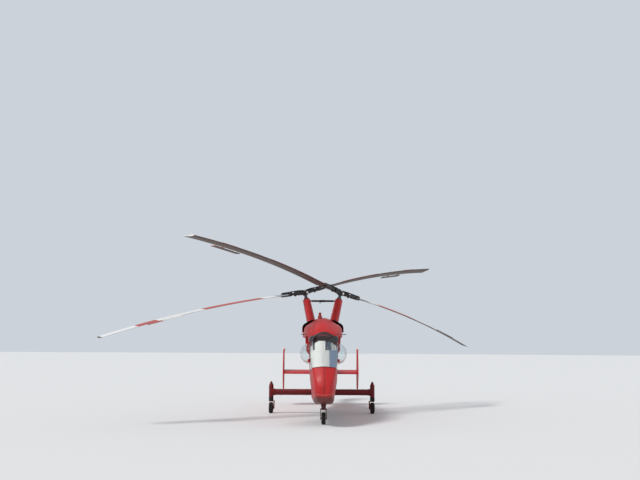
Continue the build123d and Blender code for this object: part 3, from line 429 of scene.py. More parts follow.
alloy = plain("bare_alloy", (0.62, 0.63, 0.65, 1), rough=0.38, metal=0.85, grime=0.5)
rubber_seal = plain("seal_rubber", (0.022, 0.022, 0.024, 1), rough=0.7)
nose_skin = skin("windscreen", "nose_shell")
screen_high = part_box("windscreen")[1]
EDGE_INSET, SCREW_RADIUS = 0.012, 0.0045
REAR_EDGE = screen_high.y - EDGE_INSET
FOOT_FRONT, FOOT_REAR, FOOT_START = 1.32, 1.03, -4.0
CROWN_Z, CROWN_REACH = screen_high.z - 0.30, 1.6
FAN_Y, FAN_REACH = -3.3, 1.4


def foot(y):
    """Height of the windscreen's lower edge."""
    return FOOT_FRONT + (FOOT_REAR - FOOT_FRONT) * (y - FOOT_START) / (screen_high.y - FOOT_START)


rises = spread(foot(REAR_EDGE), CROWN_Z, 25)
left, right = [[from_side(nose_skin, side, REAR_EDGE, z) for z in rises] for side in (1, -1)]
crown = []
for turn in spread(0, pi, 21)[1:-1]:
    start = (CROWN_REACH * cos(turn), REAR_EDGE, CROWN_Z + CROWN_REACH * sin(turn))
    crown.append(meet(nose_skin, start, (0, REAR_EDGE, CROWN_Z)))
edge = [hit for hit in left + crown + right[::-1] if hit]
runs = spread(REAR_EDGE, FAN_Y, 9)[:-1]
left, right = [[from_side(nose_skin, side, y, foot(y)) for y in runs] for side in (1, -1)]
fan = []
for bearing in spread(pi / 2, -pi / 2, 49):
    y = FAN_Y - FAN_REACH * cos(bearing)
    fan.append(meet(nose_skin, (FAN_REACH * sin(bearing), y, foot(y)), (0, FAN_Y, foot(FAN_Y))))
sill = [hit for hit in left + fan + right[::-1] if hit]
arch = [hit for hit in edge if hit[0].z > ARCH_LOW]
sides = [[hit for hit in edge if hit[0].z <= ARCH_LOW and hit[0].x * side > 0] for side in (1, -1)]
retainer, seal, screws = bmesh.new(), bmesh.new(), bmesh.new()
for hits in (*sides, sill):
    strap(retainer, hits, STRAP_WIDTH, STRAP_PROUD)
    strap(seal, [(spot + SEAL_RISE, normal) for spot, normal in hits], SEAL_WIDTH, SEAL_PROUD)
    for spot, normal in hits[1:-1:2]:
        stud(screws, spot + normal * STRAP_PROUD - SEAL_RISE, normal, SCREW_RADIUS)
strap(seal, arch, ARCH_WIDTH, SEAL_PROUD)
retainer_red = red_skin("retainer_enamel", grime=0.6)
put("windscreen_strap", retainer, retainer_red)
put("windscreen_seal", seal, rubber_seal)
put("windscreen_screws", screws, alloy)

corners = bmesh.new()
frame_skin = skin("windscreen", "nose_shell", "cockpit_frame")
for side in (1, -1):
    for z in CORNER_ROWS:
        row = [from_ahead(frame_skin, side * x, z) for x in spread(*CORNER_X, 12)]
        strap(corners, [hit for hit in row if hit and hit[0].y < CORNER_REAR], CORNER_WIDTH, CORNER_PROUD)
dark_corner_tone = plain("dark_corner_acrylic", (0.022, 0.027, 0.033, 1), rough=0.3, grime=0.3)
put("windscreen_corners", corners, dark_corner_tone, smooth=50)

trim_grey = plain("trim_grey", (0.42, 0.44, 0.45, 1), rough=0.6)
for name, x, width, material in (
    ("windscreen_posts", POST_X, POST_WIDTH, rubber_seal),
    ("windscreen_trims", TRIM_X, TRIM_WIDTH, trim_grey),
):
    form = bmesh.new()
    for side, post_low in POST_FEET:
        heights = spread(post_low, screen_high.z - POST_DROP, 16)
        hits = [from_ahead(nose_skin, side * x, z) for z in heights]
        strap(form, [(hit[0] - hit[1] * POST_INSET, hit[1]) for hit in hits if hit], width, POST_THICK)
    put(name, form, material)


# Nose cowl: the shell's front ends in a rolled lip over the belly, painted a lighter red as a painted
# highlight where its edge catches the light, and a narrow bead covers the joint of its two halves from the
# windscreen down to that lip.
LIP_Z, LIP_HALF, LIP_DROP, LIP_WIDTH, LIP_PROUD = 0.505, 0.215, 0.035, 0.026, 0.012
BEAD_WIDTH, BEAD_PROUD, BEAD_LOW, BEAD_TOP = 0.016, 0.0035, LIP_Z + 0.02, foot(-3.9) - 0.01


def strip(name, hits, width, proud, material, smooth=50):
    """Painted strip laid over points of the airframe's skin."""
    form = bmesh.new()
    strap(form, hits, width, proud)
    put(name, form, material, smooth=smooth)


bead = [from_ahead(nose_skin, 0, z) for z in spread(BEAD_LOW, BEAD_TOP, 28)]
strip("nose_bead", bead, BEAD_WIDTH, BEAD_PROUD, plain("bead_red", (0.16, 0.008, 0.009, 1), rough=0.5))
# The lip's lighter red is a painted highlight along its edge.
lip = []
for share in spread(-1, 1, 33):
    lip.append(from_ahead(nose_skin, LIP_HALF * share, LIP_Z + LIP_DROP * share**2))
strip("nose_lip", lip, LIP_WIDTH, LIP_PROUD, plain("lip_red_highlight", (0.66, 0.075, 0.06, 1), rough=0.4))


# Bubble rings: a flat ring of bare alloy, rolled to the door's skin, clamps the foot of each door's bubble.
# Its rivets stand close together round the whole ring.
BUBBLE_RING, RING_WIDTH, RING_PROUD, RING_RIVETS, RING_FACING = 0.338, 0.030, 0.003, 36, 0.3
for name, side in (("left", 1), ("right", -1)):
    low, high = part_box(f"door_window_{name}")
    centre = (low + high) / 2
    door_skin = skin(f"door_{name}")
    ring = []
    for k in range(2 * RING_RIVETS):
        turn = pi * k / RING_RIVETS
        y, z = centre.y + BUBBLE_RING * cos(turn), centre.z + BUBBLE_RING * sin(turn)
        hit = from_side(door_skin, side, y, z)
        if hit and abs(hit[1].x) > RING_FACING:
            ring.append(hit)
    form = bmesh.new()
    strap(form, ring, RING_WIDTH, RING_PROUD, closed=True)
    for spot, normal in ring[::2]:
        stud(form, spot + normal * RING_PROUD, normal)
    put(f"bubble_ring_{name}", form, alloy, f"door_{name}")


# Sun shade: reflective foil on thin foam, stood against the inside of the windscreen. A wide lower sheet is
# bowed and creased, with a painted reflection of the blue sky on its left part; above it lie a smaller sheet
# and two pleated ones, whose pleats are painted in light and shaded stripes.
FOIL_WHITE, FOIL_SKY_REFLECTION = (0.90, 0.885, 0.82, 1), (0.275, 0.35, 0.485, 1)
FOIL_SHADED, FOIL_CREASED = (0.10, 0.135, 0.19, 1), (0.46, 0.47, 0.46, 1)
SHADE_SPLIT_X, SHADE_SPLIT_Z = 0.155, 1.775
PLEAT_X, STRIPE_X, STRIPE_PITCH = 0.036, 0.205, 0.052
SHADE_INSET, SHADE_FAN_Y, SHADE_FAN_REACH = 0.010, -3.2, 1.5
SHADE_FOOT, SHADE_GAP = 1.36, 0.012
# X range, Z range (the lowest sheet follows the windscreen's edge), depth of the folds, count of pleats
SHEETS = {
    "wide low sheet": ((-0.42, 0.42), (None, 1.778), 0.0026, 0),
    "upper sheet": ((-0.284, 0.034), (1.765, 2.06), 0.0120, 0),
    "right-hand pleats": ((-0.42, -0.325), (1.765, 2.03), 0.0180, 3),
    "left-hand pleats": ((0.036, 0.42), (1.765, 2.05), 0.0200, 9),
}
foil_finish = Finish("shade_foil")
x, y, z = foil_finish.place()
crease = foil_finish.speckle(16.0, 5.0, 0.7)
# The lower left part of the foil is painted blue as a reflection of the sky.
tone = foil_finish.mix((x > SHADE_SPLIT_X) * (z < SHADE_SPLIT_Z), FOIL_WHITE, FOIL_SKY_REFLECTION)
# The pleats are painted in light and dark stripes: painted shade on their folds.
pleat_shade_stripes = (x.steps(STRIPE_PITCH) > 0.36) * (x > STRIPE_X)
pleats_painted_shade = foil_finish.mix(pleat_shade_stripes, FOIL_SHADED, FOIL_WHITE)
tone = foil_finish.mix((x > PLEAT_X) * (z > SHADE_SPLIT_Z), tone, pleats_painted_shade)
tone = foil_finish.mix(((crease - 0.5) * 2.5).clamp() * 0.35, tone, FOIL_CREASED)
foil_material = foil_finish.done(
    Base_Color=tone,
    Roughness=0.30 + 0.2 * crease,
    Metallic=0.12,
    Normal=foil_finish.bump(crease, 0.006),
)
screen_skin = skin("windscreen")


def behind_glass(bearing, z):
    """Point just inside the windscreen at a bearing, and the way out through it."""
    start = (SHADE_FAN_REACH * sin(bearing), SHADE_FAN_Y - SHADE_FAN_REACH * cos(bearing), z)
    hit = meet(screen_skin, start, (0, SHADE_FAN_Y, z))
    return hit and (hit[0] - hit[1] * SHADE_INSET, hit[1])


def bearing_of(x, z):
    """Bearing at which the inside of the windscreen lies at a distance from the middle plane."""
    side, near, far = (1 if x > 0 else -1), 0.0, radians(86)
    for _ in range(14):
        middle = (near + far) / 2
        hit = behind_glass(side * middle, z)
        if hit and abs(hit[0].x) < abs(x):
            near = middle
        else:
            far = middle
    return side * near


form = bmesh.new()
shade_area = 0.0
columns, rows = 56, 40
for (x_from, x_to), (z_from, z_to), depth, pleats in SHEETS.values():
    grid = {}
    for j in range(rows + 1):
        bottom = z_from or SHADE_FOOT
        height = bottom + (z_to - bottom) * j / rows
        start, end = bearing_of(x_from, height), bearing_of(x_to, height)
        for i in range(columns + 1):
            bearing, z = start + (end - start) * i / columns, height
            if z_from is None:
                edge_hit = behind_glass(bearing, SHADE_FOOT)
                base = foot(edge_hit[0].y) + SHADE_GAP if edge_hit else SHADE_FOOT - 0.02
                z = base + (z_to - base) * j / rows
            hit = behind_glass(bearing, z)
            if hit is None:
                continue
            wave = (i / columns * pleats) % 1.0
            fold = abs(wave * 2 - 1) if pleats else 0.75 + 0.25 * noise.noise((bearing * 4, z * 9, 1.7))
            grid[i, j] = form.verts.new(hit[0] - hit[1] * depth * fold)
    for i in range(columns):
        for j in range(rows):
            corners = [grid.get(c) for c in ((i, j), (i + 1, j), (i + 1, j + 1), (i, j + 1))]
            if all(corners):
                shade_area += form.faces.new(corners).calc_area()
shade = put("sun_shade", form, foil_material, smooth=60)
thicken = shade.modifiers.new("foam", "SOLIDIFY")
thicken.thickness, thicken.offset = 0.002, 0.0
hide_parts("sun_screen")
SHADE_WIDTH, SHADE_LENGTH = 1.25, 1.00
flat_size, shade_area = (SHADE_WIDTH, SHADE_LENGTH), round(shade_area, 3)


# Cockpit: floor and panel of folded sheet alloy, riveted in, the floor painted grey and the panel crackle
# black. Three rows of round dials are screwed to it in black bezels; stick, lever and pedals are black too.
paint(["cockpit_floor"], plain("floor_paint", (0.16, 0.165, 0.17, 1), rough=0.62, grime=0.8))
paint(["instrument_panel"], plain("panel_paint", (0.035, 0.036, 0.038, 1), rough=0.75, scale=40))
paint(["flight_controls"], plain("control_black", (0.03, 0.03, 0.032, 1), rough=0.42, scale=30))

# height, radius, count
DIAL_ROWS = [(1.145, 0.030, 5), (1.065, 0.036, 4), (0.985, 0.030, 5)]
DIAL_PITCH, BEZEL_WIDTH, TICK_PITCH = 0.088, 0.006, 0.009
panel_skin = skin("instrument_panel")
bezels, faces = bmesh.new(), bmesh.new()
for z, radius, count in DIAL_ROWS:
    for k in range(count):
        x = (k - (count - 1) / 2) * DIAL_PITCH
        hit = meet(panel_skin, (x, -2.4, z), (x, -4, z))
        if hit is None:
            continue
        place = facing(*hit)
        outer = radius + BEZEL_WIDTH
        turned(bezels, place, [(outer, 0), (outer, 0.007), (radius, 0.009), (radius, 0.003)], 28)
        turned(faces, place, [(radius * 0.98, 0.0031), (radius * 0.98, 0.0044)], 28)
dial_finish = Finish("dial_face")
x, y, z = dial_finish.place()
dial = dial_finish.mix((z.steps(TICK_PITCH) > 0.86) * 0.7, (0.02, 0.02, 0.02, 1), (0.75, 0.75, 0.7, 1))
put("dial_faces", faces, dial_finish.done(Base_Color=dial, Roughness=0.3))
put("dial_bezels", bezels, plain("bezel_black", (0.02, 0.02, 0.02, 1), rough=0.4))


# Seat: two stuffed cushions in dark woven cloth on a painted shell, each sewn as a case, filled, and then
# stitched into three channels, with webbing belts and a round alloy buckle over them.
SEAT_CLOTH = (0.085, 0.088, 0.095, 1)
CHANNELS, CHANNEL_DEPTH = 3, 0.010
PUFF, PRESSURE, CLOTH_STEPS = 0.012, 4.0, 20
PAD_ROUNDING, CLOTH_GRAIN, STITCH_HALF, SIDE_SEAM = 0.38, 0.011, 0.022, 0.04
PAD_WIDTH, PAD_LENGTH, PAD_DEPTH = 0.40, 0.42, 0.075
BACK_LENGTH, BACK_DEPTH = 0.68, PAD_DEPTH * 0.85
SEAT_WIDTH, SEAT_FOOT = 0.435, 0.58
BASE_TILT, BACK_TILT, LEG_X = 4, 83.5, 0.15
BELT_WIDTH, BELT_THICK = 0.045, 0.0025
SHOULDER_X, SHOULDER_TOP, SHOULDER_STEP, SHOULDER_LIFT = 0.10, 0.36, 0.045, 0.058
LAP_X, LAP_STEP, LAP_LIFT, LAP_CLIMB, BUCKLE_LIFT = 0.21, 0.019, 0.030, 0.0035, 0.064
BUCKLE_PROFILE = [(0.030, 0), (0.030, 0.010), (0.022, 0.016)]
PAN_SIZE, BACK_SIZE, LEG_SIZE = (SEAT_WIDTH, 0.47, 0.045), (SEAT_WIDTH, 0.80, 0.034), (0.03, 0.34)


def weave(name, colour, pitch):
    """Woven cloth whose threads repeat at a pitch."""
    finish = Finish(name)
    x, y, z = finish.place()
    warp, weft = x.ripple(pitch), (y + z).ripple(pitch)
    cloud = finish.speckle(7.0, 5.0)
    thread = warp * 0.5 + weft * 0.5
    light = tuple(min(1, c * 1.9) for c in colour[:3]) + (1,)
    tone = finish.mix(thread * 0.4 + 0.5 * (cloud - 0.4).clamp(), colour, light)
    return finish.done(Base_Color=tone, Roughness=0.9, Normal=finish.bump(thread, 0.001), Sheen_Weight=0.25)


def cushion(name, place, size):
    """Pad with its top along +Z of a place, swollen by cloth pressure, then stitched into channels."""
    width, length, depth = size
    form = bmesh.new()
    bmesh.ops.create_cube(form, size=1, matrix=Matrix.Diagonal((width, length, depth, 1)))
    edges = list(form.edges)
    bmesh.ops.bevel(form, geom=edges, offset=depth * PAD_ROUNDING, segments=4, profile=0.6, affect="EDGES")
    pad = put(name, form, weave(f"{name}_cloth", SEAT_CLOTH, 0.0035), smooth=70)
    pad.parent = None
    pad.matrix_world = Matrix.Identity(4)
    cut = pad.modifiers.new("fine", "REMESH")
    cut.mode, cut.voxel_size = "VOXEL", CLOTH_GRAIN
    view = bpy.context.evaluated_depsgraph_get()
    fine = bpy.data.meshes.new_from_object(pad.evaluated_get(view))
    pad.modifiers.clear()
    fine.materials.clear()
    fine.materials.append(pad.data.materials[0])
    rest = [v.co.copy() for v in fine.vertices]
    pad.data = fine
    cloth = pad.modifiers.new("stuffing", "CLOTH")
    cloth.settings.use_pressure = True
    cloth.settings.uniform_pressure_force = PRESSURE
    cloth.settings.effector_weights.gravity = 0.0
    for step in range(1, CLOTH_STEPS + 1):
        scene.frame_set(step)
        bpy.context.view_layer.update()
    swollen = bpy.data.meshes.new_from_object(pad.evaluated_get(bpy.context.evaluated_depsgraph_get()))
    shifts = [swollen.vertices[i].co - rest[i] for i in range(len(rest))]
    pad.modifiers.clear()
    scene.frame_set(1)
    for vertex, start, shift in zip(fine.vertices, rest, shifts):
        if shift.length > PUFF:
            shift = shift.normalized() * PUFF
        vertex.co = start + shift
    for vertex in fine.vertices:
        share = vertex.co.x / width + 0.5
        if vertex.co.z > 0 and SIDE_SEAM < share < 1 - SIDE_SEAM:
            valley = min(abs(share - k / CHANNELS) for k in range(1, CHANNELS)) * width
            vertex.co.z -= CHANNEL_DEPTH * max(0.0, 1 - valley / STITCH_HALF) ** 2
    fine.shade_smooth()
    fine.transform(place)
    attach(pad, "airframe")


def block(form, place, size, bevel):
    """Box with rounded edges, centred on a place."""
    made = bmesh.ops.create_cube(form, size=1, matrix=place @ Matrix.Diagonal((*size, 1)))
    edges = {e for v in made["verts"] for e in v.link_edges}
    bmesh.ops.bevel(form, geom=list(edges), offset=bevel, segments=2, affect="EDGES")


base_middle, back_middle = (0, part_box("seat")[0].y + 0.235, 0.915), (0, -1.962, 1.33)
base_place = Matrix.Translation(base_middle) @ Matrix.Rotation(radians(-BASE_TILT), 4, "X")
back_place = Matrix.Translation(back_middle) @ Matrix.Rotation(radians(BACK_TILT), 4, "X")
cushion("seat_base_pad", base_place, (PAD_WIDTH, PAD_LENGTH, PAD_DEPTH))
cushion("seat_back_pad", back_place, (PAD_WIDTH, BACK_LENGTH, BACK_DEPTH))
form = bmesh.new()
block(form, base_place @ Matrix.Translation((0, 0.01, -0.062)), PAN_SIZE, 0.012)
block(form, back_place @ Matrix.Translation((0, -0.01, -0.052)), BACK_SIZE, 0.012)
for x in (-LEG_X, LEG_X):
    top = base_place @ Vector((x, 0, -0.08))
    middle = Matrix.Translation((x, top.y, (top.z + SEAT_FOOT) / 2))
    block(form, middle, (*LEG_SIZE, top.z - SEAT_FOOT), 0.004)
shell_paint = plain("shell_paint", (0.20, 0.205, 0.21, 1), rough=0.55)
seat_shell = put("seat_shell", form, shell_paint)
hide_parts("seat")


def ribbon(form, points, across):
    """Flat belt webbing along points, wide along a direction."""
    half, rows = Vector(across) * BELT_WIDTH / 2, []
    for k, point in enumerate(points):
        ahead = points[min(k + 1, len(points) - 1)] - points[max(k - 1, 0)]
        lift = ahead.cross(half).normalized() * BELT_THICK / 2
        rows.append((point - half - lift, point - half + lift, point + half + lift, point + half - lift))
    bridge(form, rows)


form = bmesh.new()
for side in (-1, 1):
    shoulder, lap = [], []
    for k in range(15):
        down, lift = SHOULDER_TOP - SHOULDER_STEP * k, SHOULDER_LIFT - 0.002 * (k % 2)
        shoulder.append(back_place @ Vector((side * SHOULDER_X, down, lift)))
    for k in range(10):
        across, lift = side * (LAP_X - LAP_STEP * k), LAP_LIFT + LAP_CLIMB * k
        lap.append(base_place @ Vector((across, 0.06 - 0.002 * k, lift)))
    ribbon(form, shoulder, (1, 0, 0))
    ribbon(form, lap, (0, 1, 0))
put("seat_belts", form, weave("belt_webbing", (0.05, 0.055, 0.05, 1), 0.002))
form = bmesh.new()
buckle = base_place @ Matrix.Translation((0, 0.04, BUCKLE_LIFT))
turned(form, buckle, BUCKLE_PROFILE)
put("belt_buckle", form, alloy)


# Air intakes: ducts on the hood's shoulders, pressed from the same alloy as the hood. They are red outside,
# below the joint with the hood, and above it black as painted shade in their open mouths.
INTAKE_SPLIT, INTAKE_SHADE_BLACK = 2.54, (0.014, 0.014, 0.015, 1)
intake = Finish("intake_paint_and_shade")
x, y, z = intake.place()
cloud = intake.speckle(9.0, 6.0)
# Above the split the ducts are painted black as the shade inside their mouths.
tone = intake.mix(z > INTAKE_SPLIT, intake.mix(cloud * 0.4, RED, RED_GRIMY), INTAKE_SHADE_BLACK)
relief = intake.bump(cloud, 0.001)
paint(["air_intakes"], intake.done(Base_Color=tone, Roughness=0.42 + 0.2 * cloud, Normal=relief))


# Exhaust pipe: a stainless steel tube, tinted by heat towards its end and black with soot inside, with two
# clamp bands round it.
pipe_low, pipe_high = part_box("exhaust_pipe")
PIPE_Z, PIPE_RADIUS, PIPE_WALL = (pipe_low.z + pipe_high.z) / 2, (pipe_high.z - pipe_low.z) / 2, 0.012
HEAT_START, HEAT_LENGTH = 3.2, 0.46
STEEL_WARM, STEEL_BLUED, STEEL_STAIN = (0.30, 0.24, 0.19, 1), (0.16, 0.13, 0.14, 1), (0.05, 0.04, 0.035, 1)
CLAMP_STARTS, CLAMP_WIDTH, CLAMP_PROUD = (0.035, 0.40), 0.023, 0.006
exhaust = Finish("exhaust_steel_tinted")
x, y, z = exhaust.place()
stain = exhaust.speckle(10.0, 6.0)
steel = exhaust.mix(((y - HEAT_START) / HEAT_LENGTH).clamp(), STEEL_WARM, STEEL_BLUED)
steel = exhaust.mix(((stain - 0.45) * 3).clamp() * 0.5, steel, STEEL_STAIN)
bore = (x * x + (z - PIPE_Z) * (z - PIPE_Z)) < (PIPE_RADIUS - PIPE_WALL) ** 2
steel = exhaust.mix(bore, steel, SOOT)
rough = 0.35 + 0.25 * stain + 0.3 * bore
paint(["exhaust_pipe"], exhaust.done(Base_Color=steel, Metallic=0.9 - 0.8 * bore, Roughness=rough))
form = bmesh.new()
pipe_axis = Matrix.Translation((0, pipe_low.y, PIPE_Z)) @ Matrix.Rotation(radians(-90), 4, "X")
inner, outer = PIPE_RADIUS + 0.0005, PIPE_RADIUS + CLAMP_PROUD
for start in CLAMP_STARTS:
    end = start + CLAMP_WIDTH
    band = [(inner, start), (outer, start + 0.003), (outer, end - 0.003), (inner, end)]
    turned(form, pipe_axis, band, 48, hollow=True)
put("exhaust_clamps", form, alloy)


# Beacon: a ribbed lens of red plastic with a rounded top, moulded in one piece, and clamped on a wider and
# darker base ring on the hood.
BEACON_RADIUS, BEACON_RING, BEACON_BASE_HEIGHT, BEACON_HEIGHT = 0.046, 0.070, 0.095, 0.205
DOME_HEIGHT, LENS_RIB_PITCH = BEACON_RADIUS * 0.7, 0.011
RING_TONE, LENS_TONE = (0.42, 0.020, 0.014, 1), (0.36, 0.018, 0.014, 1)
lens = Finish("beacon_lens_red")
x, y, z = lens.place()
beacon_low, beacon_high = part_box("beacon")
beacon_x, beacon_y = (beacon_low.x + beacon_high.x) / 2, (beacon_low.y + beacon_high.y) / 2
hood_top = meet(skin("roof_hood"), (beacon_x, beacon_y, 6), (beacon_x, beacon_y, 2))[0].z
lens_tone = lens.mix(z < hood_top + BEACON_BASE_HEIGHT, LENS_TONE, RING_TONE)
ribs = lens.bump(z.ripple(LENS_RIB_PITCH), 0.001)
lens_material = lens.done(Base_Color=lens_tone, Roughness=0.22, Normal=ribs, Coat_Weight=0.3)
form = bmesh.new()
profile = [(BEACON_RING, -0.02), (BEACON_RING, BEACON_BASE_HEIGHT - 0.015)]
profile += [(BEACON_RING - 0.012, BEACON_BASE_HEIGHT), (BEACON_RADIUS, BEACON_BASE_HEIGHT + 0.002)]
profile += [(BEACON_RADIUS, BEACON_HEIGHT - DOME_HEIGHT)]
for turn in spread(0, pi / 2, 8)[1:-1]:
    profile.append((BEACON_RADIUS * cos(turn), BEACON_HEIGHT - DOME_HEIGHT * (1 - sin(turn))))
turned(form, Matrix.Translation((beacon_x, beacon_y, hood_top)), profile, 32)
beacon = put("beacon_lamp", form, lens_material)
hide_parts("beacon")


# Pitot tubes: thin air-speed probes of steel tube at the hood's shoulders, painted in the satin black of the
# small fittings.
satin_black = plain("satin_black", (0.018, 0.018, 0.019, 1), rough=0.4)
paint(["pitot_tubes"], satin_black)


# Pylon tie rod: a black steel tube between the pylon tops, swaged at its ends, with a turnbuckle sleeve and
# the lifting lug hanging from its middle.
tie_low, tie_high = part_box("pylon_tie_rod")
tie_y, tie_half = (tie_low.y + tie_high.y) / 2, tie_high.x
TIE_CORE, TIE_RADIUS, LUG_X, LUG_SIZE = 0.023, 0.034, -0.09, (0.034, 0.024, 0.050)
tie_z = tie_high.z - TIE_CORE
tie_axis = Matrix.Translation((0, tie_y, tie_z)) @ Matrix.Rotation(radians(90), 4, "Y")
profile = [(0.020, -tie_half), (0.024, 0.035 - tie_half), (TIE_RADIUS, 0.07 - tie_half), (TIE_RADIUS, -0.075)]
profile += [(TIE_RADIUS + 0.006, -0.07)]
form = bmesh.new()
turned(form, tie_axis, profile + [(radius, -height) for radius, height in reversed(profile)], 28)
block(form, Matrix.Translation((LUG_X, tie_y, tie_z - TIE_RADIUS - 0.018)), LUG_SIZE, 0.004)
tie_rod = put("tie_rod", form, satin_black)
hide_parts("pylon_tie_rod")


# Hood seam: a narrow alloy strip, riveted, covers the joint between the hood's front dome and its opening
# top.
# Its dark red paints the shade line that runs across the hood there.
SEAM_MIDDLE, SEAM_REACH, SEAM_TURN = (0.08, 2.40), (0.41, 0.32), (35, 198)
SEAM_STRIP, SEAM_PROUD = 0.020, 0.003
hood_skin = skin("roof_hood")
seam = []
for turn in [radians(degrees) for degrees in spread(*SEAM_TURN, 49)]:
    x, z = SEAM_MIDDLE[0] + SEAM_REACH[0] * cos(turn), SEAM_MIDDLE[1] + SEAM_REACH[1] * sin(turn)
    seam.append(from_ahead(hood_skin, x, z))
# The strip's dark red is painted shade along the hood's arc.
seam_red_shade = plain("seam_red_shade", (0.20, 0.010, 0.010, 1), rough=0.5)
strip("hood_seam", seam, SEAM_STRIP, SEAM_PROUD, seam_red_shade, 60)


# Hatches: thin alloy plates that follow the skins of body, cowl and boom, each held by studs round its edge.
# The engine bay breathes through gills pressed out of cowl and boom, and a capped filler leads to the tank.
HATCH_RISE, HATCH_RIM, HATCH_GAP, STUD_PITCH = 0.0030, 0.018, 0.012, 0.075
# node, middle (Y, Z), size (Y, Z)
HATCHES = [
    ("nose_shell", (-3.52, 0.80), (0.26, 0.24)),
    ("cockpit_frame", (-1.50, 0.88), (0.46, 0.44)),
    ("centre_fuselage", (-0.82, 0.88), (0.46, 0.44)),
    ("centre_fuselage", (-0.26, 0.88), (0.42, 0.44)),
    ("centre_fuselage", (0.32, 0.88), (0.46, 0.44)),
    ("centre_fuselage", (0.98, 0.88), (0.56, 0.44)),
    ("tail_boom", (1.92, 1.02), (0.56, 0.50)),
    ("tail_boom", (2.70, 1.08), (0.52, 0.40)),
    ("tail_boom", (4.25, 1.22), (0.34, 0.22)),
    ("tail_boom", (6.10, 1.30), (0.26, 0.16)),
    ("engine_cowl", (1.20, 2.35), (0.42, 0.16)),
    ("engine_cowl", (1.84, 2.34), (0.44, 0.16)),
    ("roof_hood", (0.10, 2.28), (0.80, 0.10)),
]
GILL_LENGTH, GILL_DEPTH, GILL_RISE, GILL_PITCH = 0.160, 0.055, 0.020, 0.085
# node, count, Y of the first, Z
GILL_ROWS = [("engine_cowl", 5, 2.30, 2.33), ("tail_boom", 6, 2.42, 1.50)]
FILLER, KNOB_SIZE = (0.46, 1.30), (0.060, 0.014, 0.012)
FILLER_PROFILE = [(0.058, -0.003), (0.058, 0.005), (0.046, 0.008), (0.044, 0.016), (0.030, 0.019)]


def rounded(width, height, corner, pitch):
    """Outline of a rectangle with rounded corners, its points no further apart than a pitch."""
    bends, points = [], []
    for across, up, start in ((1, 1, 0), (-1, 1, 90), (-1, -1, 180), (1, -1, 270)):
        for k in range(5):
            turn = radians(start + 22.5 * k)
            y, z = across * (width / 2 - corner), up * (height / 2 - corner)
            bends.append(Vector((y + corner * cos(turn), z + corner * sin(turn))))
    for here, after in zip(bends, bends[1:] + bends[:1]):
        count = max(1, round((after - here).length / pitch))
        points += [here.lerp(after, k / count) for k in range(count)]
    return points


def plate(form, tree, side, middle, size, corner, rise):
    """Thin plate laid over a skin from one side."""
    outline, rows = rounded(*size, corner, 0.04), []
    for share, lift in ((1.0, -rise), (1.0, rise), (0.72, rise), (0.44, rise), (0.18, rise)):
        hits = [from_side(tree, side, middle[0] + p.x * share, middle[1] + p.y * share) for p in outline]
        rows.append([spot + normal * lift for spot, normal in hits])
    bridge(form, rows)


def hatch(form, studs, tree, side, middle, size, corner):
    """Plate on a skin, with its studs."""
    plate(form, tree, side, middle, size, corner, HATCH_RISE)
    last = None
    for point in rounded(size[0] - 2 * HATCH_RIM, size[1] - 2 * HATCH_RIM, corner, 0.01):
        if last is None or (point - last).length > STUD_PITCH:
            last = point
            spot, normal = from_side(tree, side, middle[0] + point.x, middle[1] + point.y)
            stud(studs, spot + normal * HATCH_RISE, normal, 0.007, 0.003)


def gill(form, mouth_shades, tree, side, y, z):
    """Scoop pressed out of a skin, open to the rear, with a dark strip in its mouth as painted shade."""
    rows, dark, step = [], [], Vector((0, 0.0012, 0))
    for share in spread(0, 1, 11):
        height = z + (share - 0.5) * GILL_LENGTH
        front = from_side(tree, side, y, height)[0]
        rear, normal = from_side(tree, side, y + GILL_DEPTH, height)
        lift = 0.0006 + GILL_RISE * max(0.0, sin(pi * share)) ** 0.5
        rows.append((front, rear + normal * lift, rear - normal * 0.002))
        low, high = rear - normal * 0.001, rear + normal * lift * 0.84
        dark.append((low, high, high + step, low + step))
    bridge(form, rows)
    bridge(mouth_shades, dark)


hatches, gaps, hatch_studs, gills, gill_mouth_shades = [bmesh.new() for _ in range(5)]
skins = {node: skin(node) for node, _, _ in HATCHES}
for side in (1, -1):
    for node, middle, size in HATCHES:
        corner = min(0.035, size[1] / 3)
        hatch(hatches, hatch_studs, skins[node], side, middle, size, corner)
        wider = (size[0] + HATCH_GAP, size[1] + HATCH_GAP)
        plate(gaps, skins[node], side, middle, wider, corner + HATCH_GAP / 2, HATCH_RISE / 3)
    for node, count, y, z in GILL_ROWS:
        for k in range(count):
            gill(gills, gill_mouth_shades, skins[node], side, y + k * GILL_PITCH, z)
bolt_steel = plain("bolt_steel", (0.42, 0.42, 0.43, 1), rough=0.35, metal=0.9, scale=60)
hatch_red = plain("hatch_red", (0.47, 0.018, 0.019, 1), rough=0.42, grime=0.5, scale=7)
put("hatches", hatches, hatch_red, smooth=40)
put("hatch_gaps", gaps, rubber_seal)
put("hatch_studs", hatch_studs, bolt_steel)
put("gills", gills, hatch_red, smooth=60)
# The dark strip in each gill's mouth is painted shade.
put("gill_mouth_shades", gill_mouth_shades, rubber_seal)
form = bmesh.new()
filler = facing(*from_side(skins["centre_fuselage"], 1, *FILLER))
turned(form, filler, FILLER_PROFILE, 32)
block(form, filler @ Matrix.Translation((0, 0, 0.022)), KNOB_SIZE, 0.003)
put("filler_cap", form, alloy)


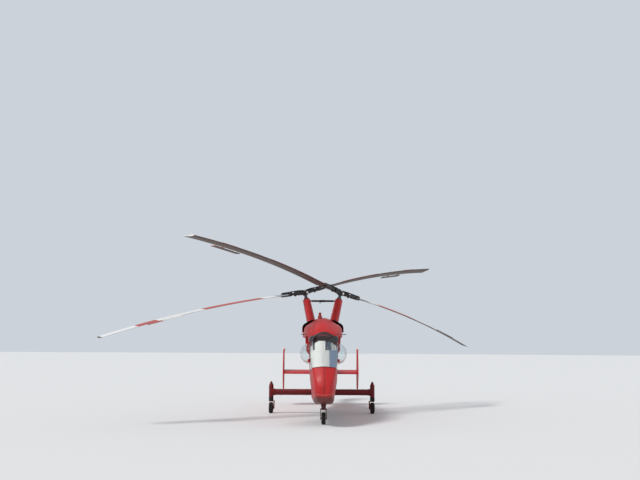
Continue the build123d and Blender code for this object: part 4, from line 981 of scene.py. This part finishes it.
# Door latches: an oval plate of bare alloy with a flush black lever, screwed on near the rear edge of each
# door.
LATCH, LATCH_SIZE, LATCH_CORNER = (-2.045, 1.02), (0.125, 0.070), 0.030
LEVER_RISE, LEVER_SIZE = 0.013, (0.080, 0.016, 0.010)
for name, side in (("left", 1), ("right", -1)):
    tree = skin(f"door_{name}")
    plates, levers = bmesh.new(), bmesh.new()
    hatch(plates, levers, tree, side, LATCH, LATCH_SIZE, LATCH_CORNER)
    spot, normal = from_side(tree, side, *LATCH)
    block(levers, facing(spot + normal * LEVER_RISE, normal), LEVER_SIZE, 0.003)
    put(f"latch_plate_{name}", plates, alloy, f"door_{name}")
    put(f"latch_lever_{name}", levers, satin_black, f"door_{name}")


# Tail lamps: a frosted plastic lens moulded as a slim fairing, about twice as long as it is wide, and screwed
# on top of each end plate.
LAMP_SUNK, PLATE_TOP, LAMP_LONG = 0.085, 0.010, 1.9
LAMP_PROFILE = [(0.022, -0.04), (0.048, 0), (0.055, 0.05), (0.052, 0.09), (0.038, 0.124), (0.014, 0.140)]
form = bmesh.new()
plate_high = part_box("end_plates")[1].z
tops = [v.co for v in NODES["end_plates"].data.vertices if v.co.z > plate_high - PLATE_TOP]
for side in (1, -1):
    spots = [top for top in tops if top.x * side > 0]
    middle = sum(spots, Vector()) / len(spots)
    foot_place = Matrix.Translation((middle.x, middle.y, plate_high - LAMP_SUNK))
    lamp = foot_place @ Matrix.Diagonal((1, LAMP_LONG, 1, 1))
    turned(form, lamp, LAMP_PROFILE)
put("tail_lamps", form, plain("lamp_frosted", (0.88, 0.72, 0.70, 1), rough=0.3))


# Wheels: low-pressure rubber tyres with three grooves round the tread, on cast wheel halves that eight bolts
# hold together.
TREAD_GROOVES = [-0.095, 0.0, 0.095]
GROOVE_WIDTH, GROOVE_DEPTH, SHOULDER_SHARE = 0.0045, 0.006, 0.36
RIM_BOLTS, RIM_BOLT_CIRCLE = 8, 0.90
BOLT_PROFILE = [(0.0065, 0), (0.0065, 0.007), (0.004, 0.009)]
tyre_rubber = plain("tyre_rubber", (0.016, 0.012, 0.010, 1), rough=0.9, grime=0.7, dark=1.8, scale=6)
rim_grey = plain("rim_grey", (0.50, 0.50, 0.49, 1), rough=0.5, grime=0.8)
paint(["main_rim_left", "main_rim_right", "nose_rim"], rim_grey)


def wheel(tyre_node, rim_node, body):
    """Grooved tyre in place of the plain one, and the bolts of its rim."""
    low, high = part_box(tyre_node)
    centre, radius, width = (low + high) / 2, (high.z - low.z) / 2, high.x - low.x
    rim_low, rim_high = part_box(rim_node)
    bead = (rim_high.z - rim_low.z) / 2
    axle = Matrix.Translation(centre) @ Matrix.Rotation(radians(90), 4, "Y")
    half, shoulder = width / 2, width * SHOULDER_SHARE
    side = []
    for turn in spread(0, pi / 2, 9):
        side.append((radius - shoulder + shoulder * sin(turn), -half + shoulder * (1 - cos(turn))))
    wall_ring = [(bead + 0.001, -half * 0.72), (bead + 0.012, -half * 0.86), (bead + 0.02, -half * 0.93)]
    crown = []
    for share in TREAD_GROOVES:
        middle = share * width
        crown += [
            (radius, middle - GROOVE_WIDTH),
            (radius - GROOVE_DEPTH, middle - GROOVE_WIDTH / 2),
            (radius - GROOVE_DEPTH, middle + GROOVE_WIDTH / 2),
            (radius, middle + GROOVE_WIDTH),
        ]
    wall = wall_ring + side[1:]
    form = bmesh.new()
    turned(form, axle, wall + crown + [(reach, -height) for reach, height in reversed(wall)], 72)
    tyre = put(f"{body}_tread", form, tyre_rubber, body, 30)
    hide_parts(tyre_node)
    form = bmesh.new()
    for face in (1, -1):
        hub_face = axle @ Matrix.Translation((0, 0, face * (rim_high.x - rim_low.x) / 2))
        if face < 0:
            hub_face = hub_face @ Matrix.Rotation(pi, 4, "X")
        for x, y in circle(RIM_BOLTS, bead * RIM_BOLT_CIRCLE):
            turned(form, hub_face @ Matrix.Translation((x, y, -0.002)), BOLT_PROFILE, 6)
    put(f"{body}_bolts", form, bolt_steel, body)


wheel("main_tyre_left", "main_rim_left", "main_wheel_left")
wheel("main_tyre_right", "main_rim_right", "main_wheel_right")
wheel("nose_tyre", "nose_rim", "nose_wheel")


# Main gear: ribbed rubber gaiters slipped over the oleo legs, and painted steel clamps round the beams, each
# with a lug in front. The clamps share the beams' dark red, which is painted shade.
BEAM_CENTRE_Z, BEAM_RADIUS, CLAMP_OUTER = 0.31, 0.105, 0.112
BEAM_CLAMPS, BEAM_LUG, LUG_REACH = (0.52, 0.98, 1.44), (0.03, 0.028, 0.05), 0.016
RIBS, RIB_PROUD, RIB_VALLEY, GAITER_PROUD = 5, 0.016, 0.004, 0.001
RIB_PEAK_SHARE, RIB_VALLEY_SHARE = 0.35, 0.9
paint(["oleos"], rubber_seal)
oleo_low, oleo_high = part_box("oleos")
form, clamps = bmesh.new(), bmesh.new()
leg_radius = (oleo_high.y - oleo_low.y) / 2
leg_x, leg_y = oleo_high.x - leg_radius, (oleo_low.y + oleo_high.y) / 2
height = oleo_high.z - oleo_low.z
pitch = height / RIBS
ribs = [(leg_radius + GAITER_PROUD, 0)]
for k in range(RIBS):
    ribs.append((leg_radius + RIB_PROUD, pitch * (k + RIB_PEAK_SHARE)))
    ribs.append((leg_radius + RIB_VALLEY, pitch * (k + RIB_VALLEY_SHARE)))
ribs.append((leg_radius + GAITER_PROUD, height))
clamp = [(BEAM_RADIUS, -0.018), (CLAMP_OUTER, -0.015), (CLAMP_OUTER, 0.015), (BEAM_RADIUS, 0.018)]
for side in (1, -1):
    turned(form, Matrix.Translation((side * leg_x, leg_y, oleo_low.z)), ribs, 40)
    for x in BEAM_CLAMPS:
        band = Matrix.Translation((side * x, leg_y, BEAM_CENTRE_Z)) @ Matrix.Rotation(radians(90), 4, "Y")
        turned(clamps, band, clamp, 48)
        lug = Matrix.Translation((side * x, leg_y - BEAM_RADIUS - LUG_REACH, BEAM_CENTRE_Z))
        block(clamps, lug, BEAM_LUG, 0.004)
put("oleo_gaiters", form, rubber_seal, smooth=50)
# The clamps' dark red is painted shade, as on the beams.
put("beam_clamps", clamps, plain("clamp_red_shaded", (0.16, 0.009, 0.010, 1), rough=0.5))


# Rotor heads: forged black yokes and grips crowded with bolts, nuts and control rods. A silver cap with a
# pink plastic plug closes each mast. Both heads are alike, so one function dresses each from its joint and
# its arms.
forging_black = plain("forging_black", (0.020, 0.018, 0.018, 1), rough=0.46)
paint(["hub_left", "hub_right", "grips_left", "grips_right"], forging_black)
paint(["lag_dampers_left", "lag_dampers_right"], plain("damper_black", (0.016, 0.016, 0.017, 1), rough=0.35))
paint(["mast_left", "mast_right"], plain("mast_dark", (0.10, 0.10, 0.105, 1), rough=0.4, metal=0.7))
head_steel = plain("head_steel", (0.050, 0.045, 0.045, 1), rough=0.42, metal=0.5, scale=40)
cap_silver = plain("cap_silver", (0.72, 0.70, 0.70, 1), rough=0.3, metal=0.7, scale=30)
plug_pink = plain("plug_pink", (0.72, 0.36, 0.38, 1), rough=0.5)
LAG_ARM, GRIP_HALF_HEIGHT, HUB_HALF_HEIGHT, EAR_HALF_HEIGHT = 0.450, 0.054, 0.075, 0.048
CAP_PROFILE = [(0.062, -0.002), (0.062, 0.012), (0.046, 0.022), (0.030, 0.028)]
PLUG_PROFILE = [(0.026, 0.026), (0.026, 0.046), (0.018, 0.052)]
PIN_CAP_PROFILE = [(0.044, -0.006), (0.044, 0.010), (0.030, 0.020), (0.012, 0.022)]
ROD_END_PROFILE = [(0.015, -0.004), (0.017, 0.010), (0.012, 0.024)]
TEETER_RADIUS, TEETER_HALF = 0.034, 0.128
MAST_BOLTS, MAST_BOLT_CIRCLE = 8, 0.077
MAST_NUT, LAG_NUT, GRIP_NUT, ARM_NUT = (0.009, 0.012), (0.034, 0.030), (0.0105, 0.013), (0.010, 0.012)
GRIP_BOLTS = [(x, y) for x in (0.20, 0.27, 0.34, 0.41, 0.48) for y in (-0.05, 0.05)]
ARM_BOLTS = [(x, y) for x in (0.13, 0.21) for y in (-0.055, 0.055)]
ROD_OFFSET, ROD_RADIUS, ROD_SIDES = 0.034, 0.012, 10
CRANK_SPOT, CRANK_SIZE, CRANK_TILT = (0.29, 0.072, 0.030), (0.17, 0.016, 0.050), -14
# carrier, distance along it, share of the rod's offset, height
ROD_BENDS = [
    ("arm", 0.085, 1, 0.088),
    ("arm", 0.30, 1, 0.105),
    ("grip", 0.10, 1, 0.092),
    ("grip", 0.50, 0.6, 0.074),
]
# carrier, distances along it, lift over its top, size, rounding of the edges
HEAD_BLOCKS = {
    "grip clamps": ("grip", (0.14, 0.24, 0.34, 0.44), 0.012, (0.030, 0.085, 0.034), 0.004),
    "brackets": ("arm", (0.11, 0.17, 0.23, 0.29, 0.35), 0.034, (0.020, 0.094, 0.062), 0.004),
    "channel": ("arm", (0.23,), 0.022, (0.34, 0.050, 0.044), 0.006),
    "weights": ("arm", (0.19, 0.31), 0.010, (0.05, 0.05, 0.022), 0.005),
}
joints = {joint["name"]: joint for joint in frame["joints"]}


def tube(form, points, radius):
    """Round rod along points, with flat ends."""
    rows, side = [], None
    for k, point in enumerate(points):
        ahead = (points[min(k + 1, len(points) - 1)] - points[max(k - 1, 0)]).normalized()
        side = ahead.orthogonal() if side is None else side - ahead * side.dot(ahead)
        side.normalize()
        other = ahead.cross(side)
        rows.append([point + (side * x + other * y) * radius for x, y in circle(ROD_SIDES)])
    bridge(form, rows)


def mean_spot(node, centre, toward, slack, outermost=True):
    """Middle of a node's outermost or innermost vertices on the side that points toward a place."""
    spots = [v.co for v in NODES[node].data.vertices if (v.co - centre).dot(toward - centre) > 0]
    reach = [(s - centre).length for s in spots]
    limit = max(reach) if outermost else min(reach)
    chosen = [s for s, r in zip(spots, reach) if abs(r - limit) < slack]
    low = Vector([min(s[k] for s in chosen) for k in range(3)])
    high = Vector([max(s[k] for s in chosen) for k in range(3)])
    return (low + high) / 2


def aimed(origin, ahead, up):
    """Place with X ahead and Z near an upward direction."""
    x = ahead.normalized()
    y = up.cross(x).normalized()
    z = x.cross(y)
    return Matrix.Translation(origin) @ Matrix((x, y, z)).transposed().to_4x4()


def nut(form, place, radius, height):
    """Six-sided nut on its washer."""
    washer = [(radius * 1.25, 0), (radius * 1.25, 0.003)]
    turned(form, place, washer + [(radius, 0.0032), (radius, height), (radius * 0.8, height + 0.002)], 6)


def dress_head(name):
    """Caps, bolts, rods, brackets and weights of one rotor's head."""
    joint = joints[f"rotor_{name}_spin"]
    centre, axis = Vector(joint["pos_m"]), Vector(joint["axis"])
    steel, plugs, caps = bmesh.new(), bmesh.new(), bmesh.new()
    crown = facing(centre + axis * HUB_HALF_HEIGHT, axis)
    turned(caps, crown, CAP_PROFILE, 32)
    turned(plugs, crown, PLUG_PROFILE)
    for x, y in circle(MAST_BOLTS, MAST_BOLT_CIRCLE):
        nut(steel, crown @ Matrix.Translation((x, y, 0)), *MAST_NUT)
    for end in ("aft", "fore"):
        blade = f"blade_{name}_{end}"
        tip = max((v.co for v in NODES[blade].data.vertices), key=lambda s: (s - centre).length).copy()
        ear = mean_spot(f"hub_{name}", centre, tip, 0.003)
        arm = aimed(centre, ear - centre, axis)
        pin = centre + (ear - centre).normalized() * LAG_ARM
        root = mean_spot(blade, centre, tip, 0.03, outermost=False)
        grip = aimed(pin, root - pin, axis)
        if end == "fore":
            teeter = arm @ Matrix.Rotation(radians(-90), 4, "X")
            teeter_pin = [(TEETER_RADIUS, 0), (TEETER_RADIUS, 2 * TEETER_HALF)]
            turned(steel, teeter @ Matrix.Translation((0, 0, -TEETER_HALF)), teeter_pin)
            outward = Matrix.Translation((0, 0, TEETER_HALF - 0.002))
            for face in (0, pi):
                turned(caps, teeter @ Matrix.Rotation(face, 4, "X") @ outward, PIN_CAP_PROFILE)
        for up in (0, pi):
            flip = Matrix.Rotation(up, 4, "X")
            nut(steel, grip @ flip @ Matrix.Translation((0, 0, EAR_HALF_HEIGHT)), *LAG_NUT)
            for x, y in GRIP_BOLTS:
                nut(steel, grip @ flip @ Matrix.Translation((x, y, GRIP_HALF_HEIGHT)), *GRIP_NUT)
            for x, y in ARM_BOLTS:
                nut(steel, arm @ flip @ Matrix.Translation((x, y, EAR_HALF_HEIGHT)), *ARM_NUT)
        carriers = {"arm": (arm, EAR_HALF_HEIGHT), "grip": (grip, GRIP_HALF_HEIGHT)}
        for offset in (-ROD_OFFSET, ROD_OFFSET):
            rod = []
            for carrier, x, share, z in ROD_BENDS:
                rod.append(carriers[carrier][0] @ Vector((x, offset * share, z)))
            tube(steel, rod, ROD_RADIUS)
            for spot in (rod[0], rod[-1]):
                turned(steel, facing(spot - axis * ROD_RADIUS, axis), ROD_END_PROFILE, 12)
        for carrier, stations, lift, size, bevel in HEAD_BLOCKS.values():
            place, top = carriers[carrier]
            for x in stations:
                block(steel, place @ Matrix.Translation((x, 0, top + lift)), size, bevel)
        tilt = Matrix.Rotation(radians(CRANK_TILT), 4, "Y")
        for side in (-1, 1):
            x, y, z = CRANK_SPOT
            block(steel, arm @ Matrix.Translation((x, side * y, z)) @ tilt, CRANK_SIZE, 0.005)
    rides = f"rotor_{name}"
    put(f"head_bolts_{name}", steel, head_steel, rides)
    put(f"mast_cap_{name}", caps, cap_silver, rides)
    put(f"mast_plug_{name}", plugs, plug_pink, rides)


dress_head("left")
dress_head("right")


# Blades: spruce spar under glass cloth, white with red bands on top and a dark underside, whose dark brown is
# partly its paint and partly painted shade. The first half metre past the grip is bare grey metal; tops are
# weathered along the span.
BAND_COLOURS = {"grey": (0.30, 0.30, 0.31, 1), "white": (0.80, 0.79, 0.77, 1), "red": (0.47, 0.070, 0.055, 1)}
# distance from the hub at which each band starts, past the grey root
BANDS = [(1.345, "white"), (1.864, "red"), (4.01, "white"), (5.57, "red"), (6.24, "white")]
UNDERSIDE_AND_SHADE = (0.080, 0.050, 0.040, 1)
BLADE_WORN, UNDER_WORN = (0.30, 0.27, 0.25, 1), (0.11, 0.085, 0.075, 1)


def blade_finish(name):
    """Banded skin whose bands lie at distances from one rotor's hub."""
    joint = joints[f"rotor_{name}_spin"]
    finish = Finish(f"blade_skin_{name}")
    spot = finish.node("TexCoord", output=3)
    reach = finish.node("VectorMath", {"operation": "DISTANCE"}, [spot, joint["pos_m"]], 1)
    tone = BAND_COLOURS["grey"]
    for start, colour in BANDS:
        tone = finish.mix(reach > start, tone, BAND_COLOURS[colour])
    wear = finish.speckle(4.0, 6.0, 0.65)
    tone = finish.mix(((wear - 0.5) * 2.4).clamp() * 0.35, tone, BLADE_WORN)
    below = finish.mix(((wear - 0.4) * 2).clamp() * 0.6, UNDERSIDE_AND_SHADE, UNDER_WORN)
    # Faces that point down take the dark underside colour: the blade's own dark paint with painted shade.
    tone = finish.mix(finish.upward() < 0.0, tone, below)
    return finish.done(Base_Color=tone, Roughness=0.42 + 0.25 * wear, Normal=finish.bump(wear, 0.0015))


for name in ("left", "right"):
    skin_material = blade_finish(name)
    paint([f"blade_{name}_fore", f"blade_{name}_aft", f"servo_flaps_{name}"], skin_material)


# Cargo hook and rail: a forged steel hook, worn bright by its lines, under a rail of black painted steel that
# is bolted along the belly.
paint(["cargo_rail"], plain("rail_black", (0.03, 0.03, 0.032, 1), rough=0.5))
paint(["cargo_hook"], plain("hook_steel", (0.33, 0.32, 0.31, 1), rough=0.4, metal=0.9, grime=0.8))
